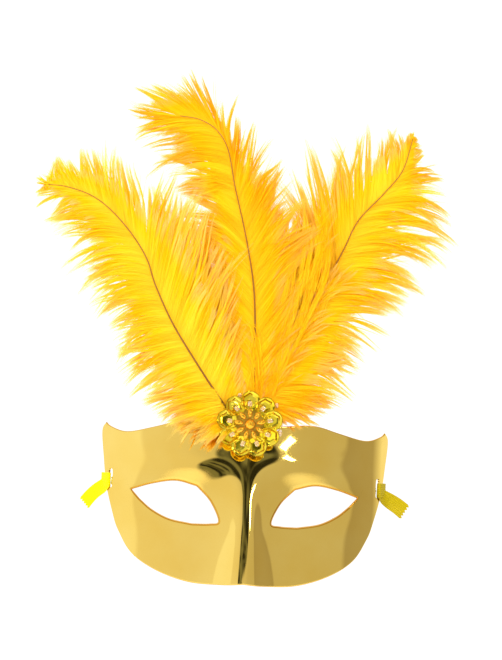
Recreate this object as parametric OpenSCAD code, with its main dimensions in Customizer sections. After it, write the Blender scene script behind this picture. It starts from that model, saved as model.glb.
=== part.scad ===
// Feathered masquerade half-mask: a gilded shell, three ostrich plumes, a sequin flower and two
// ribbon ties that are looped round the shell's side bars and folded up behind its cheeks.
// Millimetres. +X is the viewer's right, -Y is towards the viewer, +Z is up.
// The origin is on the inner face of the nose bridge, level with the eyes.

/* [Shell] */
// Width of the mask across its side edges
mask_w = 165; // [150:1:175]
// Thickness of the moulded wall
wall = 1.2; // [1:0.1:1.5]
// Half-width at which the swept front would turn edge-on
sweep_a = 88; // [87:1:100]
// Depth of the ellipse that the front is swept along
sweep_b = 56; // [45:1:60]
// How far the nose ridge stands out at its foot
nose_out = 11; // [8:1:16]
// How deep the turned-in lip of each eye opening is
lip_depth = 2.2; // [1:0.1:3]

/* [Ribbon slots] */
// Width of a slot, along the shell
slot_w = 3.4; // [3:0.1:4]
// Height of a slot
slot_h = 11; // [10.6:0.1:13]
// Height of the slots' centres above the origin
slot_z = 11.5; // [9:0.5:13]

/* [Flower] */
// Number of petals, and of wires
petals = 9; // [9:1:9]
// Diameter of a sequin petal
petal_d = 11; // [10:0.5:11.5]
// Distance from the flower's centre to a petal's centre
petal_ring = 13.5; // [13:0.5:15]
// How far each petal is twisted, so that it laps over the next
petal_twist = 13; // [12:1:15]
// Diameter of the centre bead
centre_d = 6; // [5:0.5:6]

/* [Plumes] */
// Diameter of a quill at its root
quill_d = 1.4; // [1.2:0.1:1.6]
// Thickness of a vane at its middle
vane_t = 6; // [4:0.5:6]

/* [Ribbon] */
// Width of the ribbon
ribbon_w = 10; // [9:0.5:10]
// Thickness of the ribbon
ribbon_t = 0.4; // [0.3:0.1:0.5]
// Length of the folded bundle
bundle_l = 25; // [22:1:26]
// Thickness of the folded bundle
bundle_t = 6.2; // [5:0.1:6.5]

/* [Hidden] */
PETAL_NODES = [for (i = [1:petals]) str("petal_", i)];
OVAL_NODES = [for (i = [1:petals]) str("oval_bead_", i)];
CLEAR_NODES = [for (i = [1:petals]) str("clear_bead_", i)];

$fn = 48;
gold = "#E3BC45";
petal_gold = "#D6C21E";
bead_gold = "#F0A81C";
feather_yellow = "#FFC61A";
quill_brown = "#8A5A10";
ribbon_yellow = "#F6EA10";

// ---- the shell's outline, on its right half, as x and z ----
k = mask_w / 165;
top_edge = k * [[0, 44.2], [20, 45.4], [38, 46.3], [53, 42.4], [68.5, 38.7], [77.5, 41], [80.6, 43.6]];
side_edge = k * [[80.6, 43.6], [82.9, 38.5], [81.6, 24], [79.2, 6], [73.5, -15]];
bottom_edge = k * [[73.5, -15], [64.5, -30], [50, -39.6], [31, -45.6], [13, -46.3], [0, -45.4]];
// The eye opening, from a point low on its inner side, round the tear corner and back
eye_inner = k * [[30, -12.3], [20, -11.9], [15, -10], [20, 1], [28, 9.4]];
eye_top = k * [[28, 9.4], [40, 12], [53, 9.8], [65, 5.8]];
eye_outer = k * [[65, 5.8], [60, 0.4]];
eye_bottom = k * [[60, 0.4], [53, -5.2], [43, -10], [30, -12.3]];

shell_rings = 9;
centre_n = 22; // steps up the centre line, which both halves share
top_n = 22;
side_n = 14;
bottom_n = 20;
loop_n = centre_n + top_n + side_n + bottom_n;

// A Catmull-Rom curve through points p, as count points without the last one
function at_span(p, i, t) =
    let (b = p[i], c = p[i + 1], a = i > 0 ? p[i - 1] : 2 * b - c,
         d = i + 2 < len(p) ? p[i + 2] : 2 * c - b)
    0.5 * (2 * b + (c - a) * t + (2 * a - 5 * b + 4 * c - d) * t * t
           + (3 * b - a - 3 * c + d) * t * t * t);
function along(p, s) =
    let (u = s * (len(p) - 1), i = min(len(p) - 2, floor(u))) at_span(p, i, u - i);
function curve(p, count) = [for (i = [0:count - 1]) along(p, i / count)];

outer_loop = concat(
    [for (i = [0:centre_n - 1]) [0, k * (-45.4 + 89.6 * i / centre_n)]],
    curve(top_edge, top_n), curve(side_edge, side_n), curve(bottom_edge, bottom_n));
eye_loop = concat(curve(eye_inner, centre_n), curve(eye_top, top_n),
                  curve(eye_outer, side_n), curve(eye_bottom, bottom_n));

// ---- the shell's front surface: y for an x and z ----
nose_top = 30;
nose_foot = -46;
// The ridge's height as a share of its foot's: it rises fast, then levels off
function nose_share(z) =
    let (t = max(0, min(1, (nose_top - z) / (nose_top - nose_foot))))
    pow(t, 1.25) * (1 - 0.38 * t * t) / 0.62;
bridge_out = nose_out * nose_share(0);
function bell(x, w) = exp(-x * x / (w * w));
function ease(t) = let (c = max(0, min(1, t))) c * c * (3 - 2 * c);
// The ridge is flat on top, wide between the brows and spreads into two wings below z = -14
function ridge_off(x) = pow(abs(x), 3) / (x * x + 4);
function ridge_spread(z) = 6 * ease((z - 2) / 22);
function nose_flank(z) = 6.5 + 7 * pow(max(0, min(1, (-14 - z) / 32)), 1.2) + ridge_spread(z);
function nose_y(x, z) = nose_out * nose_share(z)
    * (0.2 * exp(-pow(ridge_off(x) / nose_flank(z), 3))
        + 0.8 * bell(ridge_off(x), 11 + 4 * nose_share(z) + ridge_spread(z)));
function socket_y(x, z) = 2.5 * bell(abs(x) - 39, 23) * bell(z - 1, 13);
function brow_y(x, z) = 1.8 * bell(abs(x) - 30, 25) * bell(z - 24, 9);
function sweep_y(x) = sweep_b * (1 - sqrt(1 - x * x / (sweep_a * sweep_a)));
function front_y(x, z) = bridge_out - wall + sweep_y(x) + 0.0011 * z * z
    - nose_y(x, z) + socket_y(x, z) - brow_y(x, z);
function front(p) = [p.x, front_y(p.x, p.y), p.y];
function unit(v) = v / norm(v);
// The surface's outward normal, which points to the viewer
function front_normal(p) =
    let (e = 0.05,
         gx = (front_y(p.x + e, p.y) - front_y(p.x - e, p.y)) / (2 * e),
         gz = (front_y(p.x, p.y + e) - front_y(p.x, p.y - e)) / (2 * e))
    unit([gx, -1, gz]);
function back(p, t = wall) = front(p) - t * front_normal(p);

// ---- the shell as rings from the eye's lip (0) and edge (1) out to the outline ----
function spread(i) = 1 - pow(1 - i / shell_rings, 1.5);
function grid(i, j) = eye_loop[j] + (outer_loop[j] - eye_loop[j]) * spread(i);
// In the plane of x and z, away from the eye opening
function eye_outward(j) =
    let (a = eye_loop[(j + loop_n - 1) % loop_n], b = eye_loop[(j + 1) % loop_n], t = unit(b - a))
    [-t.y, t.x];
function lip_front(j) =
    let (p = eye_loop[j] - 0.4 * eye_outward(j)) [p.x, front(eye_loop[j]).y + lip_depth, p.y];
function shift(j, d) = let (o = eye_outward(j)) [d * o.x, 0, d * o.y];
function front_ring(i) = [for (j = [0:loop_n - 1]) i == 0 ? lip_front(j) : front(grid(i - 1, j))];
function back_ring(i) = [for (j = [0:loop_n - 1])
    i == 0 ? lip_front(j) + shift(j, wall)
    : i == 1 ? back(eye_loop[j], wall / 2) + shift(j, wall) + [0, wall / 2, 0]
    : back(grid(i - 1, j))];
half_points = concat([for (i = [0:shell_rings + 1]) each front_ring(i)],
                     [for (i = [0:shell_rings + 1]) each back_ring(i)]);
half_n = len(half_points);
// Index of a point: half 0 or 1, face 0 front or 1 back. The centre line belongs to half 0
function id(half, face, i, j) =
    let (m = j % loop_n, shared = i == shell_rings + 1 && m <= centre_n)
    (shared ? 0 : half) * half_n + face * half_n / 2 + i * loop_n + m;
function quad(a, b, c, d) = [[a, b, c], [a, c, d]];
function turned(half, f) = half == 0 ? f : [f[2], f[1], f[0]];
function half_faces(h) = [
    for (i = [0:shell_rings], j = [0:loop_n - 1])
        for (f = concat(quad(id(h, 0, i, j), id(h, 0, i + 1, j), id(h, 0, i + 1, j + 1), id(h, 0, i, j + 1)),
                        quad(id(h, 1, i, j), id(h, 1, i, j + 1), id(h, 1, i + 1, j + 1), id(h, 1, i + 1, j))))
            turned(h, f),
    for (j = [0:loop_n - 1])
        for (f = quad(id(h, 0, 0, j), id(h, 0, 0, j + 1), id(h, 1, 0, j + 1), id(h, 1, 0, j))) turned(h, f),
    for (j = [centre_n:loop_n - 1], i = shell_rings + 1)
        for (f = quad(id(h, 0, i, j), id(h, 1, i, j), id(h, 1, i, j + 1), id(h, 0, i, j + 1))) turned(h, f)];

// ---- the ribbon slots ----
slot_x = 76.8 * k;
slot_at = [slot_x, slot_z];
slot_turn = atan2(-front_normal(slot_at).x, -front_normal(slot_at).y);

module slot_cutter() {
    translate(front(slot_at)) rotate([0, 0, -slot_turn]) cube([slot_w, 12, slot_h], center = true);
}

module mask_shell() {
    color(gold) difference() {
        polyhedron(points = concat(half_points, [for (p = half_points) [-p.x, p.y, p.z]]),
                   faces = concat(half_faces(0), half_faces(1)));
        slot_cutter();
        mirror([1, 0, 0]) slot_cutter();
    }
}

// ---- solids swept through rings of points ----
module loft(rings) {
    m = len(rings[0]);
    n = len(rings);
    polyhedron(
        points = [for (r = rings) each r],
        faces = concat(
            [for (i = [0:n - 2], j = [0:m - 1])
                each quad(i * m + j, i * m + (j + 1) % m, (i + 1) * m + (j + 1) % m, (i + 1) * m + j)],
            [for (j = [1:m - 2]) [0, j + 1, j]],
            [for (j = [1:m - 2]) [(n - 1) * m, (n - 1) * m + j, (n - 1) * m + j + 1]]));
}

// ---- the flower ----
flower_z = 46;
pad_back = front_y(0, 31) - 0.1;
pad_t = 5;
backing_t = 1;
backing_r = 15;
backing_y = pad_back - pad_t - backing_t;
petal_y = backing_y - 2.2;
wire_r = 0.22;
wire_in_y = petal_y - 3.3;
wire_out_y = petal_y - 1.9;
ring_r = 3.4;
function petal_angle(i) = 92 - 360 / petals * (i - 1);

// The quills' root ends, as route points. The first two set the way into the glue pad
pad_z = 40;
pad_r = 9;
left_route = [[-4, 2.8, 43.9], [-9, 2.8, 49.9], [-16, 2.2, 58], [-29.5, -2, 76.5], [-46, -7, 101],
    [-57, -11, 122.5], [-62.5, -13, 137], [-71, -14.5, 150], [-83, -15.5, 163],
    [-95, -16, 171.5], [-109, -16, 176], [-120, -16, 177]];
centre_route = [[0.9, 4.1, 44.5], [1.2, 4.1, 50], [1.8, 4.1, 61], [2, 3.5, 77], [0.8, 1.5, 105],
    [-1.3, -0.5, 127], [-7, -3, 154], [-14, -5.5, 180], [-19, -8, 201],
    [-26, -9.5, 212], [-36, -11, 217.5], [-47, -12, 219]];
right_route = [[3.4, 5.3, 45.5], [5.4, 5.5, 50.5], [9, 6.2, 60], [14.5, 8, 74], [27.5, 10.5, 100.5],
    [40, 12, 126], [50, 12, 147], [58, 12, 164.5], [71.5, 12, 180], [82, 11, 194], [87, 9, 212.5]];

function tube_ring(p, t, r) =
    let (u = unit(cross(t, [0, 1, 0])), v = cross(u, t))
    [for (a = [0:45:315]) p + r * cos(a) * u + r * sin(a) * v];
function route_tangent(p, s, e = 0.004) = unit(along(p, min(1, s + e)) - along(p, max(0, s - e)));

module quill(route) {
    color(quill_brown) loft([for (i = [0:36])
        let (s = i / 36) tube_ring(along(route, s), route_tangent(route, s), quill_d / 2 * (1 - 0.7 * s))]);
}

module glue_pad() {
    color("#E8E2C0") difference() {
        translate([0, pad_back, pad_z]) rotate([90, 0, 0]) cylinder(r = pad_r, h = pad_t);
        for (r = [left_route, centre_route, right_route]) quill_pocket(r[0], r[1]);
    }
}

// A round pocket from just behind a quill's end out through the pad's rim
module quill_pocket(from, to) {
    d = unit(to - from);
    translate(from - 0.3 * d) rotate([0, acos(d.z), atan2(d.y, d.x)])
        cylinder(r = quill_d / 2 + 0.12, h = 14);
}

module flower_backing() {
    color("#D9B030") translate([0, backing_y + backing_t, flower_z]) rotate([90, 0, 0])
        cylinder(r = backing_r, h = backing_t);
}

// Places its children at the flower's centre, turned so that +X runs out along one petal's wire
module on_arm(i) {
    translate([0, 0, flower_z]) rotate([0, -petal_angle(i), 0]) children();
}

// A cup sequin: a flat middle with a hole, and a wall that opens to a rounded rim
module petal(i) {
    r = petal_d / 2;
    color(petal_gold) on_arm(i) translate([petal_ring, petal_y + 0.9, 0])
        rotate([petal_twist, 0, 0]) rotate([90, 0, 0]) rotate_extrude()
            polygon([[0.6, 0], [r * 0.5, 0], [r * 0.93, 1.25], [r, 1.45], [r, 1.85], [r * 0.91, 1.65],
                     [r * 0.46, 0.4], [0.6, 0.4]]);
}

// The wire's depth at a distance from the flower's centre
function arm_y(d) = wire_in_y + (wire_out_y - wire_in_y) * (d - ring_r) / (petal_ring - ring_r);
arm_slope = atan2(wire_out_y - wire_in_y, petal_ring - ring_r);

module flower_wires() {
    color(bead_gold) {
        translate([0, wire_in_y, flower_z]) rotate([90, 0, 0])
            rotate_extrude() translate([ring_r, 0]) circle(r = wire_r + 0.08);
        for (i = [1:petals]) on_arm(i) {
            translate([ring_r, wire_in_y, 0]) rotate([0, 0, arm_slope]) rotate([0, 90, 0])
                cylinder(r = wire_r, h = (petal_ring - ring_r) / cos(arm_slope));
            translate([petal_ring, backing_y, 0]) rotate([90, 0, 0])
                cylinder(r = wire_r + 0.04, h = backing_y - wire_out_y + 0.1);
        }
        translate([0, backing_y, flower_z]) rotate([90, 0, 0])
            cylinder(r = 0.4, h = backing_y - wire_in_y + 1);
    }
}

// A bead threaded on a wire, its middle at distance d from the flower's centre
module threaded(i, d) {
    on_arm(i) translate([d, arm_y(d), 0]) rotate([0, 0, arm_slope]) rotate([0, 90, 0]) children();
}

module oval_bead(i) {
    color(bead_gold) threaded(i, 7.05) rotate_extrude()
        polygon(concat([for (a = [-78:12:78]) [1.3 * cos(a), 2.9 * sin(a)]], [[0.27, 2.84], [0.27, -2.84]]));
}

module clear_bead(i) {
    color("#F3E3D2", 0.7) threaded(i, 11.55) difference() {
        cylinder(r = 1.25, h = 2.9, center = true);
        cylinder(r = 0.5, h = 4, center = true);
    }
}

module centre_bead() {
    color(bead_gold) difference() {
        translate([0, wire_in_y - 0.4, flower_z]) sphere(r = centre_d / 2);
        translate([0, wire_in_y + 4, flower_z]) rotate([90, 0, 0]) cylinder(r = 0.5, h = 5.2);
    }
}

// ---- the vanes: soft lens-shaped solids that lie just behind their quills ----
// Each is a row of rungs from a left to a right edge, at the quill's own depth
function vane_ring(l, r, y, t) =
    [for (a = [0:30:330])
        let (m = (l + r) / 2 + (r - l) / 2 * cos(a)) [m.x, y + t / 2 - t / 2 * sin(a), m.y]];
function swell(s) = 0.25 + 0.75 * pow(sin(180 * min(1, 0.06 + 0.94 * s)), 0.6);

module vane(left_edge, right_edge, depths, rings = 18) {
    color(feather_yellow) loft([for (i = [0:rings])
        let (s = i / rings)
        vane_ring(along(left_edge, s), along(right_edge, s), along(depths, s), vane_t * swell(s))]);
}

module left_vane() {
    vane([[-22, 63], [-52, 62], [-70, 68], [-81, 86], [-92, 110], [-106, 131], [-117, 150], [-124, 166],
          [-122, 177]],
         [[-19, 64.5], [-16, 76], [-19, 98], [-24, 122], [-32, 148], [-46, 172], [-70, 188], [-97, 198],
          [-119, 182]],
         [1.6, 0.6, -2.4, -6, -9.5, -12, -13.5, -14, -14]);
}

module centre_vane() {
    vane([[-3, 66], [-9, 80], [-18, 102], [-27, 124], [-34, 146], [-37, 168], [-44, 188], [-66, 200],
          [-69, 212]],
         [[6, 66], [12, 80], [19, 102], [22, 124], [18, 146], [12, 170], [9, 196], [-14, 222],
          [-58, 236]],
         [5.4, 5.1, 4, 2.6, 0, -2, -4.4, -7, -8.5]);
}

module right_vane() {
    vane([[9, 68], [11, 80], [14, 102], [18, 126], [20, 150], [23, 176], [30, 202], [54, 214],
          [84, 215.5]],
         [[14, 66], [50, 66], [66, 88], [80, 108], [96, 128], [108, 150], [111, 172], [103, 196],
          [91, 213]],
         [8.4, 9.4, 11.6, 13.6, 14.3, 14.3, 14.2, 13.6, 12]);
}

// The loose down at the plumes' roots, in front of the shell's upper edge
module left_base_fluff() {
    vane([[-20, 45], [-28, 34.5], [-41, 38], [-54, 45], [-62, 51]],
         [[-20, 53], [-31, 57], [-45, 59.5], [-56, 59], [-64, 56]],
         [-3, -3, -2.5, -2, -1.5], 8);
}

module right_base_fluff() {
    vane([[16, 55], [27, 61], [39, 63], [49, 60]],
         [[16, 48.5], [24, 47], [36, 48.5], [46, 51.5]],
         [1, 0.5, 1, 2], 8);
}

// ---- the ribbons ----
edge_x = 81.4 * k;
bar_in = [slot_x + slot_w / 2 * cos(slot_turn), slot_z];
bar_out = [edge_x, slot_z];
loop_gap = 0.3;
loop_h = 8;
loop_low = slot_z - slot_h / 2 + 0.4;
knot_r = 3.4;
knot_at = back(slot_at, 5.2) + [1, 1.1, -1.5];

function flat(p) = [p.x, p.y];

module bar_section() {
    polygon([flat(front(bar_in)), flat(front(bar_out)), flat(back(bar_out)), flat(back(bar_in))]);
}

// A strip of ribbon between an upper and a lower edge, given as points in space
function strip_ring(u, l, n, t) = [u + n * t / 2, u - n * t / 2, l - n * t / 2, l + n * t / 2];
module strip(upper, lower, steps) {
    loft([for (i = [0:steps])
        let (s = i / steps, u = along(upper, s), l = along(lower, s),
             n = unit(cross(route_tangent(upper, s) + route_tangent(lower, s), u - l)))
        strip_ring(u, l, n, ribbon_t)]);
}

// The loop round the bar, its knot behind the slot and the short tail in front
module ribbon_front() {
    color(ribbon_yellow) {
        translate([0, 0, loop_low]) linear_extrude(loop_h) difference() {
            offset(r = loop_gap + ribbon_t, $fn = 24) bar_section();
            offset(r = loop_gap, $fn = 24) bar_section();
        }
        translate(knot_at) sphere(r = knot_r);
        strip([for (p = [[78.9, 13.6], [81.4, 10.8]]) front(k * p) - [0, 1, 0],
               [86, 39.6, 7.4], [90, 40.4, 3.6], [94, 40.8, -1.2]],
              [for (p = [[77.6, 6.2], [79.4, 3.2]]) front(k * p) - [0, 1, 0],
               [83, 39.2, 0], [86, 40, -3.4], [88.6, 40.8, -7.2]], 12);
    }
}

// The bundle hangs under the eye opening's outer corner, behind the cheek
bundle_x = 56.5;
bundle_y = 28.6;
bundle_top = -7;
lead_from = knot_at - [knot_r + 0.4, 0, 0];

// The rest of the ribbon: a lead from the knot, and the folded bundle that hangs from it
module folded_tie() {
    color(ribbon_yellow) {
        translate([bundle_x - ribbon_w / 2, bundle_y, bundle_top - bundle_l / 2]) rotate([90, 0, 90])
            linear_extrude(ribbon_w) {
                square([bundle_t, bundle_l - bundle_t], center = true);
                for (s = [-1, 1]) translate([0, s * (bundle_l - bundle_t) / 2]) circle(d = bundle_t);
            }
        strip([lead_from + [0, 3.4, 0.6], lead_from + [-0.4, 2.6, -5.4], [66.5, 35.5, -5.5],
               [bundle_x + 4.4, bundle_y + 2.4, bundle_top - 1.6], [bundle_x + 4.6, bundle_y + 0.6, -13]],
              [lead_from + [-0.4, -3.4, -0.4], lead_from + [-1, -3.6, -5], [63.2, 29.5, -6.5],
               [bundle_x - 4.4, bundle_y + 2.4, bundle_top - 1.6], [bundle_x - 4.6, bundle_y + 0.6, -13]], 14);
    }
}

// The thread band that holds the bundle together
module tie_band() {
    color("#E8D400") translate([bundle_x, bundle_y, bundle_top - bundle_l / 2]) linear_extrude(2) difference() {
        square([ribbon_w + 1.4, bundle_t + 1.2], center = true);
        square([ribbon_w + 0.2, bundle_t + 0.2], center = true);
    }
}

mask_shell();
glue_pad();
flower_backing();
flower_wires();
centre_bead();
for (i = [1:petals]) {
    petal(i);
    oval_bead(i);
    clear_bead(i);
}
quill(left_route);  // left_quill
quill(centre_route);  // centre_quill
quill(right_route);  // right_quill
left_vane();
centre_vane();
right_vane();
left_base_fluff();
right_base_fluff();
mirror([1, 0, 0]) ribbon_front();  // left_ribbon
ribbon_front();  // right_ribbon
mirror([1, 0, 0]) folded_tie();  // left_tie
folded_tie();  // right_tie
mirror([1, 0, 0]) tie_band();  // left_tie_band
tie_band();  // right_tie_band
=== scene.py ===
"""A gilded masquerade half-mask with three ostrich plumes, a sequin flower and two ribbon ties.

Lengths are in millimetres until a mesh is made. The frame is the part's own: +X is the viewer's right, -Y is
towards the viewer, +Z is up, and the origin is on the inner face of the nose bridge, level with the eyes.
"""

from __future__ import annotations

import logging
import math
from dataclasses import dataclass, field, replace
from enum import Enum

import bmesh
import bpy
import numpy as np
from mathutils import Matrix


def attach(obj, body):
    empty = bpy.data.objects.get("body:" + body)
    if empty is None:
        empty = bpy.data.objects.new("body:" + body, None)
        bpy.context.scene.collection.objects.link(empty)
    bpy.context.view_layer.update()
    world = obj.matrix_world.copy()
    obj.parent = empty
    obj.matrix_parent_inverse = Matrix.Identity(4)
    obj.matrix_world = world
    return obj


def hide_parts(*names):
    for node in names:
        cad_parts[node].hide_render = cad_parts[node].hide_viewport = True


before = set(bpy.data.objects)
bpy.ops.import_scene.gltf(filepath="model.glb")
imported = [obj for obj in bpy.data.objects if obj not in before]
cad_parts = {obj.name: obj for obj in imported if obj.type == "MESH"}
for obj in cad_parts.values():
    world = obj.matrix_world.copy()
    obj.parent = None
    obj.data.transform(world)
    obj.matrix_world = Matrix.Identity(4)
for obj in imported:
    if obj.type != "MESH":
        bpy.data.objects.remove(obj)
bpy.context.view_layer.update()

MM = 0.001
# A Wave texture of scale 1 has twenty radians to a unit, so this scale puts its bands one unit apart
ONE_BAND = 0.314
Points = list[tuple[float, ...]]
log = logging.getLogger("half_mask")


# ---------------------------------------------------------------- small tools


def linear(hex_colour: str) -> tuple[float, float, float, float]:
    """Turn an sRGB hex colour into the linear RGBA that shaders take.

    Args:
        hex_colour: Six hex digits, with or without a leading #.

    Returns:
        Linear red, green, blue and an alpha of 1. Dark steps are divided by 12.92 and the rest follow the
        2.4 power of the sRGB curve.
    """
    digits = hex_colour.lstrip("#")
    steps = [int(digits[i : i + 2], 16) / 255 for i in (0, 2, 4)]
    red, green, blue = [c / 12.92 if c <= 0.04045 else ((c + 0.055) / 1.055) ** 2.4 for c in steps]
    return red, green, blue, 1.0


def add_node(tree: bpy.types.NodeTree, kind: str, inputs: dict | None = None, **settings) -> bpy.types.Node:
    """Add a shader node with its settings, values and links.

    Args:
        tree: The node tree that gets it.
        kind: The node's type, such as "ShaderNodeMath".
        inputs: Socket name or number to a value, or to the output socket that feeds it.
        settings: Attributes of the node itself.

    Returns:
        The new node.
    """
    node = tree.nodes.new(kind)
    for name, value in settings.items():
        setattr(node, name, value)
    for name, value in (inputs or {}).items():
        if isinstance(value, bpy.types.NodeSocket):
            tree.links.new(value, node.inputs[name])
        else:
            node.inputs[name].default_value = value
    return node


def set_ramp(node: bpy.types.Node, stops: list[tuple[float, str]]) -> None:
    """Give a colour ramp its stops.

    Args:
        node: A ColorRamp node.
        stops: Place from 0 to 1 and sRGB hex colour of each stop, in order.
    """
    elements = node.color_ramp.elements
    while len(elements) < len(stops):
        elements.new(0.5)
    for element, (place, colour) in zip(elements, stops):
        element.position = place
        element.color = linear(colour)


def unit(vectors: np.ndarray) -> np.ndarray:
    """Scale the vectors along the last axis to a length of 1."""
    return vectors / np.maximum(np.linalg.norm(vectors, axis=-1, keepdims=True), 1e-12)


def smooth_step(x: np.ndarray) -> np.ndarray:
    """Ease from 0 to 1: three times the square less twice the cube, held flat outside."""
    x = np.clip(x, 0, 1)
    return x * x * (3 - 2 * x)


def along(points: Points, share: np.ndarray) -> np.ndarray:
    """Follow a Catmull-Rom curve through some points.

    Each span is the cubic whose slope at a point is half the step between that point's neighbours.

    Args:
        points: The points, at least two.
        share: Where to look, from 0 at the first point to 1 at the last, even from point to point.

    Returns:
        One point for each share.
    """
    p = np.asarray(points, float)
    ends = np.vstack([2 * p[0] - p[1], p, 2 * p[-1] - p[-2]])
    u = np.clip(share, 0, 1) * (len(p) - 1)
    i = np.minimum(u.astype(int), len(p) - 2)
    t = (u - i)[..., None]
    a, b, c, d = ends[i], ends[i + 1], ends[i + 2], ends[i + 3]
    return 0.5 * (2 * b + (c - a) * t + (2 * a - 5 * b + 4 * c - d) * t**2 + (3 * b - a - 3 * c + d) * t**3)


def by_length(points: Points, share: np.ndarray) -> np.ndarray:
    """Follow the same curve as along() does, with the share measured along its length."""
    even = np.linspace(0, 1, 600)
    line = along(points, even)
    run = np.concatenate([[0], np.cumsum(np.linalg.norm(np.diff(line, axis=0), axis=1))])
    return along(points, np.interp(np.clip(share, 0, 1) * run[-1], run, even))


def grid_faces(rows: int, columns: int, wrap_rows: bool = False, wrap_columns: bool = False) -> np.ndarray:
    """Number the quads of a grid whose points are stored row by row.

    Args:
        rows: Number of rows of points.
        columns: Number of points in a row.
        wrap_rows: Whether the last row joins the first.
        wrap_columns: Whether a row's last point joins its first.

    Returns:
        Four point numbers for each quad.
    """
    i = np.arange(rows if wrap_rows else rows - 1)[:, None]
    j = np.arange(columns if wrap_columns else columns - 1)[None, :]
    down, across = (i + 1) % rows, (j + 1) % columns
    quads = [i * columns + j, down * columns + j, down * columns + across, i * columns + across]
    return np.stack([np.broadcast_to(q, (i.size, j.size)) for q in quads], axis=-1).reshape(-1, 4)


@dataclass
class Surface:
    """Points and faces of one mesh before it is made, with what its material reads."""

    points: np.ndarray
    faces: np.ndarray
    values: dict[str, np.ndarray] = field(default_factory=dict)
    flat_uv: np.ndarray | None = None
    slots: np.ndarray | None = None

    def joined(self, other: Surface) -> Surface:
        """Return both surfaces as one. They carry the same values."""
        both = {k: np.concatenate([v, other.values[k]]) for k, v in self.values.items()}
        uv = None if self.flat_uv is None else np.concatenate([self.flat_uv, other.flat_uv])
        slots = None if self.slots is None else np.concatenate([self.slots, other.slots])
        faces = np.concatenate([self.faces, other.faces + len(self.points)])
        return Surface(np.concatenate([self.points, other.points]), faces, both, uv, slots)


def make_piece(
    name: str,
    surface: Surface,
    materials: list[bpy.types.Material],
    body: str,
    replaces: tuple[str, ...] = (),
    smooth: bool = True,
    crease: float | None = None,
) -> bpy.types.Object:
    """Make a mesh object at the origin, hang it on its body and hide the CAD nodes that it replaces.

    Args:
        name: The piece's name.
        surface: Its points in millimetres, faces and values.
        materials: The materials, in the order that surface.slots numbers them.
        body: The body that it rides on.
        replaces: The CAD nodes that it stands for.
        smooth: Whether its faces are shaded smooth.
        crease: Angle in degrees past which an edge stays sharp.

    Returns:
        The object.
    """
    mesh = bpy.data.meshes.new(name)
    faces = surface.faces.astype(np.int32)
    corners = faces.shape[1]
    mesh.vertices.add(len(surface.points))
    mesh.vertices.foreach_set("co", (surface.points * MM).astype(np.float32).ravel())
    mesh.loops.add(faces.size)
    mesh.loops.foreach_set("vertex_index", faces.ravel())
    mesh.polygons.add(len(faces))
    mesh.polygons.foreach_set("loop_start", np.arange(0, faces.size, corners, dtype=np.int32))
    if surface.slots is not None:
        mesh.polygons.foreach_set("material_index", surface.slots.astype(np.int32))
    if surface.flat_uv is not None:
        layer = mesh.uv_layers.new(name="OFBake")
        layer.uv.foreach_set("vector", surface.flat_uv[faces.ravel()].astype(np.float32).ravel())
    for key, values in surface.values.items():
        mesh.attributes.new(key, "FLOAT", "POINT").data.foreach_set("value", values.astype(np.float32))
    mesh.update(calc_edges=True)
    mesh.polygons.foreach_set("use_smooth", np.full(len(faces), smooth))
    if crease is not None:
        mesh.set_sharp_from_angle(angle=math.radians(crease))
    for material in materials:
        mesh.materials.append(material)
    piece = bpy.data.objects.new(name, mesh)
    bpy.context.scene.collection.objects.link(piece)
    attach(piece, body)
    if replaces:
        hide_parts(*replaces)
    log.info("%s: %d faces on %s", name, len(faces), body)
    return piece


def dress_node(node: str, material: bpy.types.Material) -> None:
    """Give a CAD node that stays in view a better material."""
    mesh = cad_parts[node].data
    mesh.materials.clear()
    mesh.materials.append(material)
    log.info("%s: dressed in %s", node, material.name)


# ---------------------------------------------------------------- finishes


class Finish:
    """A finish that can make its material once and hand it out again."""

    name: str

    def material(self) -> bpy.types.Material:
        """Return the material, made at the first call."""
        return bpy.data.materials.get(self.name) or self.make()

    def make(self) -> bpy.types.Material:
        """Make the material from an empty node tree."""
        made = bpy.data.materials.new(self.name)
        made.use_nodes = True
        tree = made.node_tree
        tree.nodes.clear()
        out = add_node(tree, "ShaderNodeOutputMaterial")
        tree.links.new(self.surface(tree), out.inputs["Surface"])
        return made

    def surface(self, tree: bpy.types.NodeTree) -> bpy.types.NodeSocket:
        """Add the finish's own nodes and return the shader's output."""
        raise NotImplementedError


def grain(tree: bpy.types.NodeTree, size_mm: float, detail: float = 2.0) -> bpy.types.NodeSocket:
    """Add noise on Object coordinates whose grains are about size_mm across, and return its value."""
    place = add_node(tree, "ShaderNodeTexCoord").outputs["Object"]
    inputs = {"Vector": place, "Scale": 1 / (size_mm * MM), "Detail": detail}
    return add_node(tree, "ShaderNodeTexNoise", inputs).outputs["Fac"]


def bump(
    tree: bpy.types.NodeTree,
    height: bpy.types.NodeSocket,
    depth_mm: float,
    over: bpy.types.NodeSocket | None = None,
) -> bpy.types.NodeSocket:
    """Turn a height from 0 to 1 into a normal, depth_mm deep, over an earlier normal if one is given."""
    inputs = {"Height": height, "Distance": depth_mm * MM, "Strength": 1.0}
    if over is not None:
        inputs["Normal"] = over
    return add_node(tree, "ShaderNodeBump", inputs).outputs["Normal"]


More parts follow.
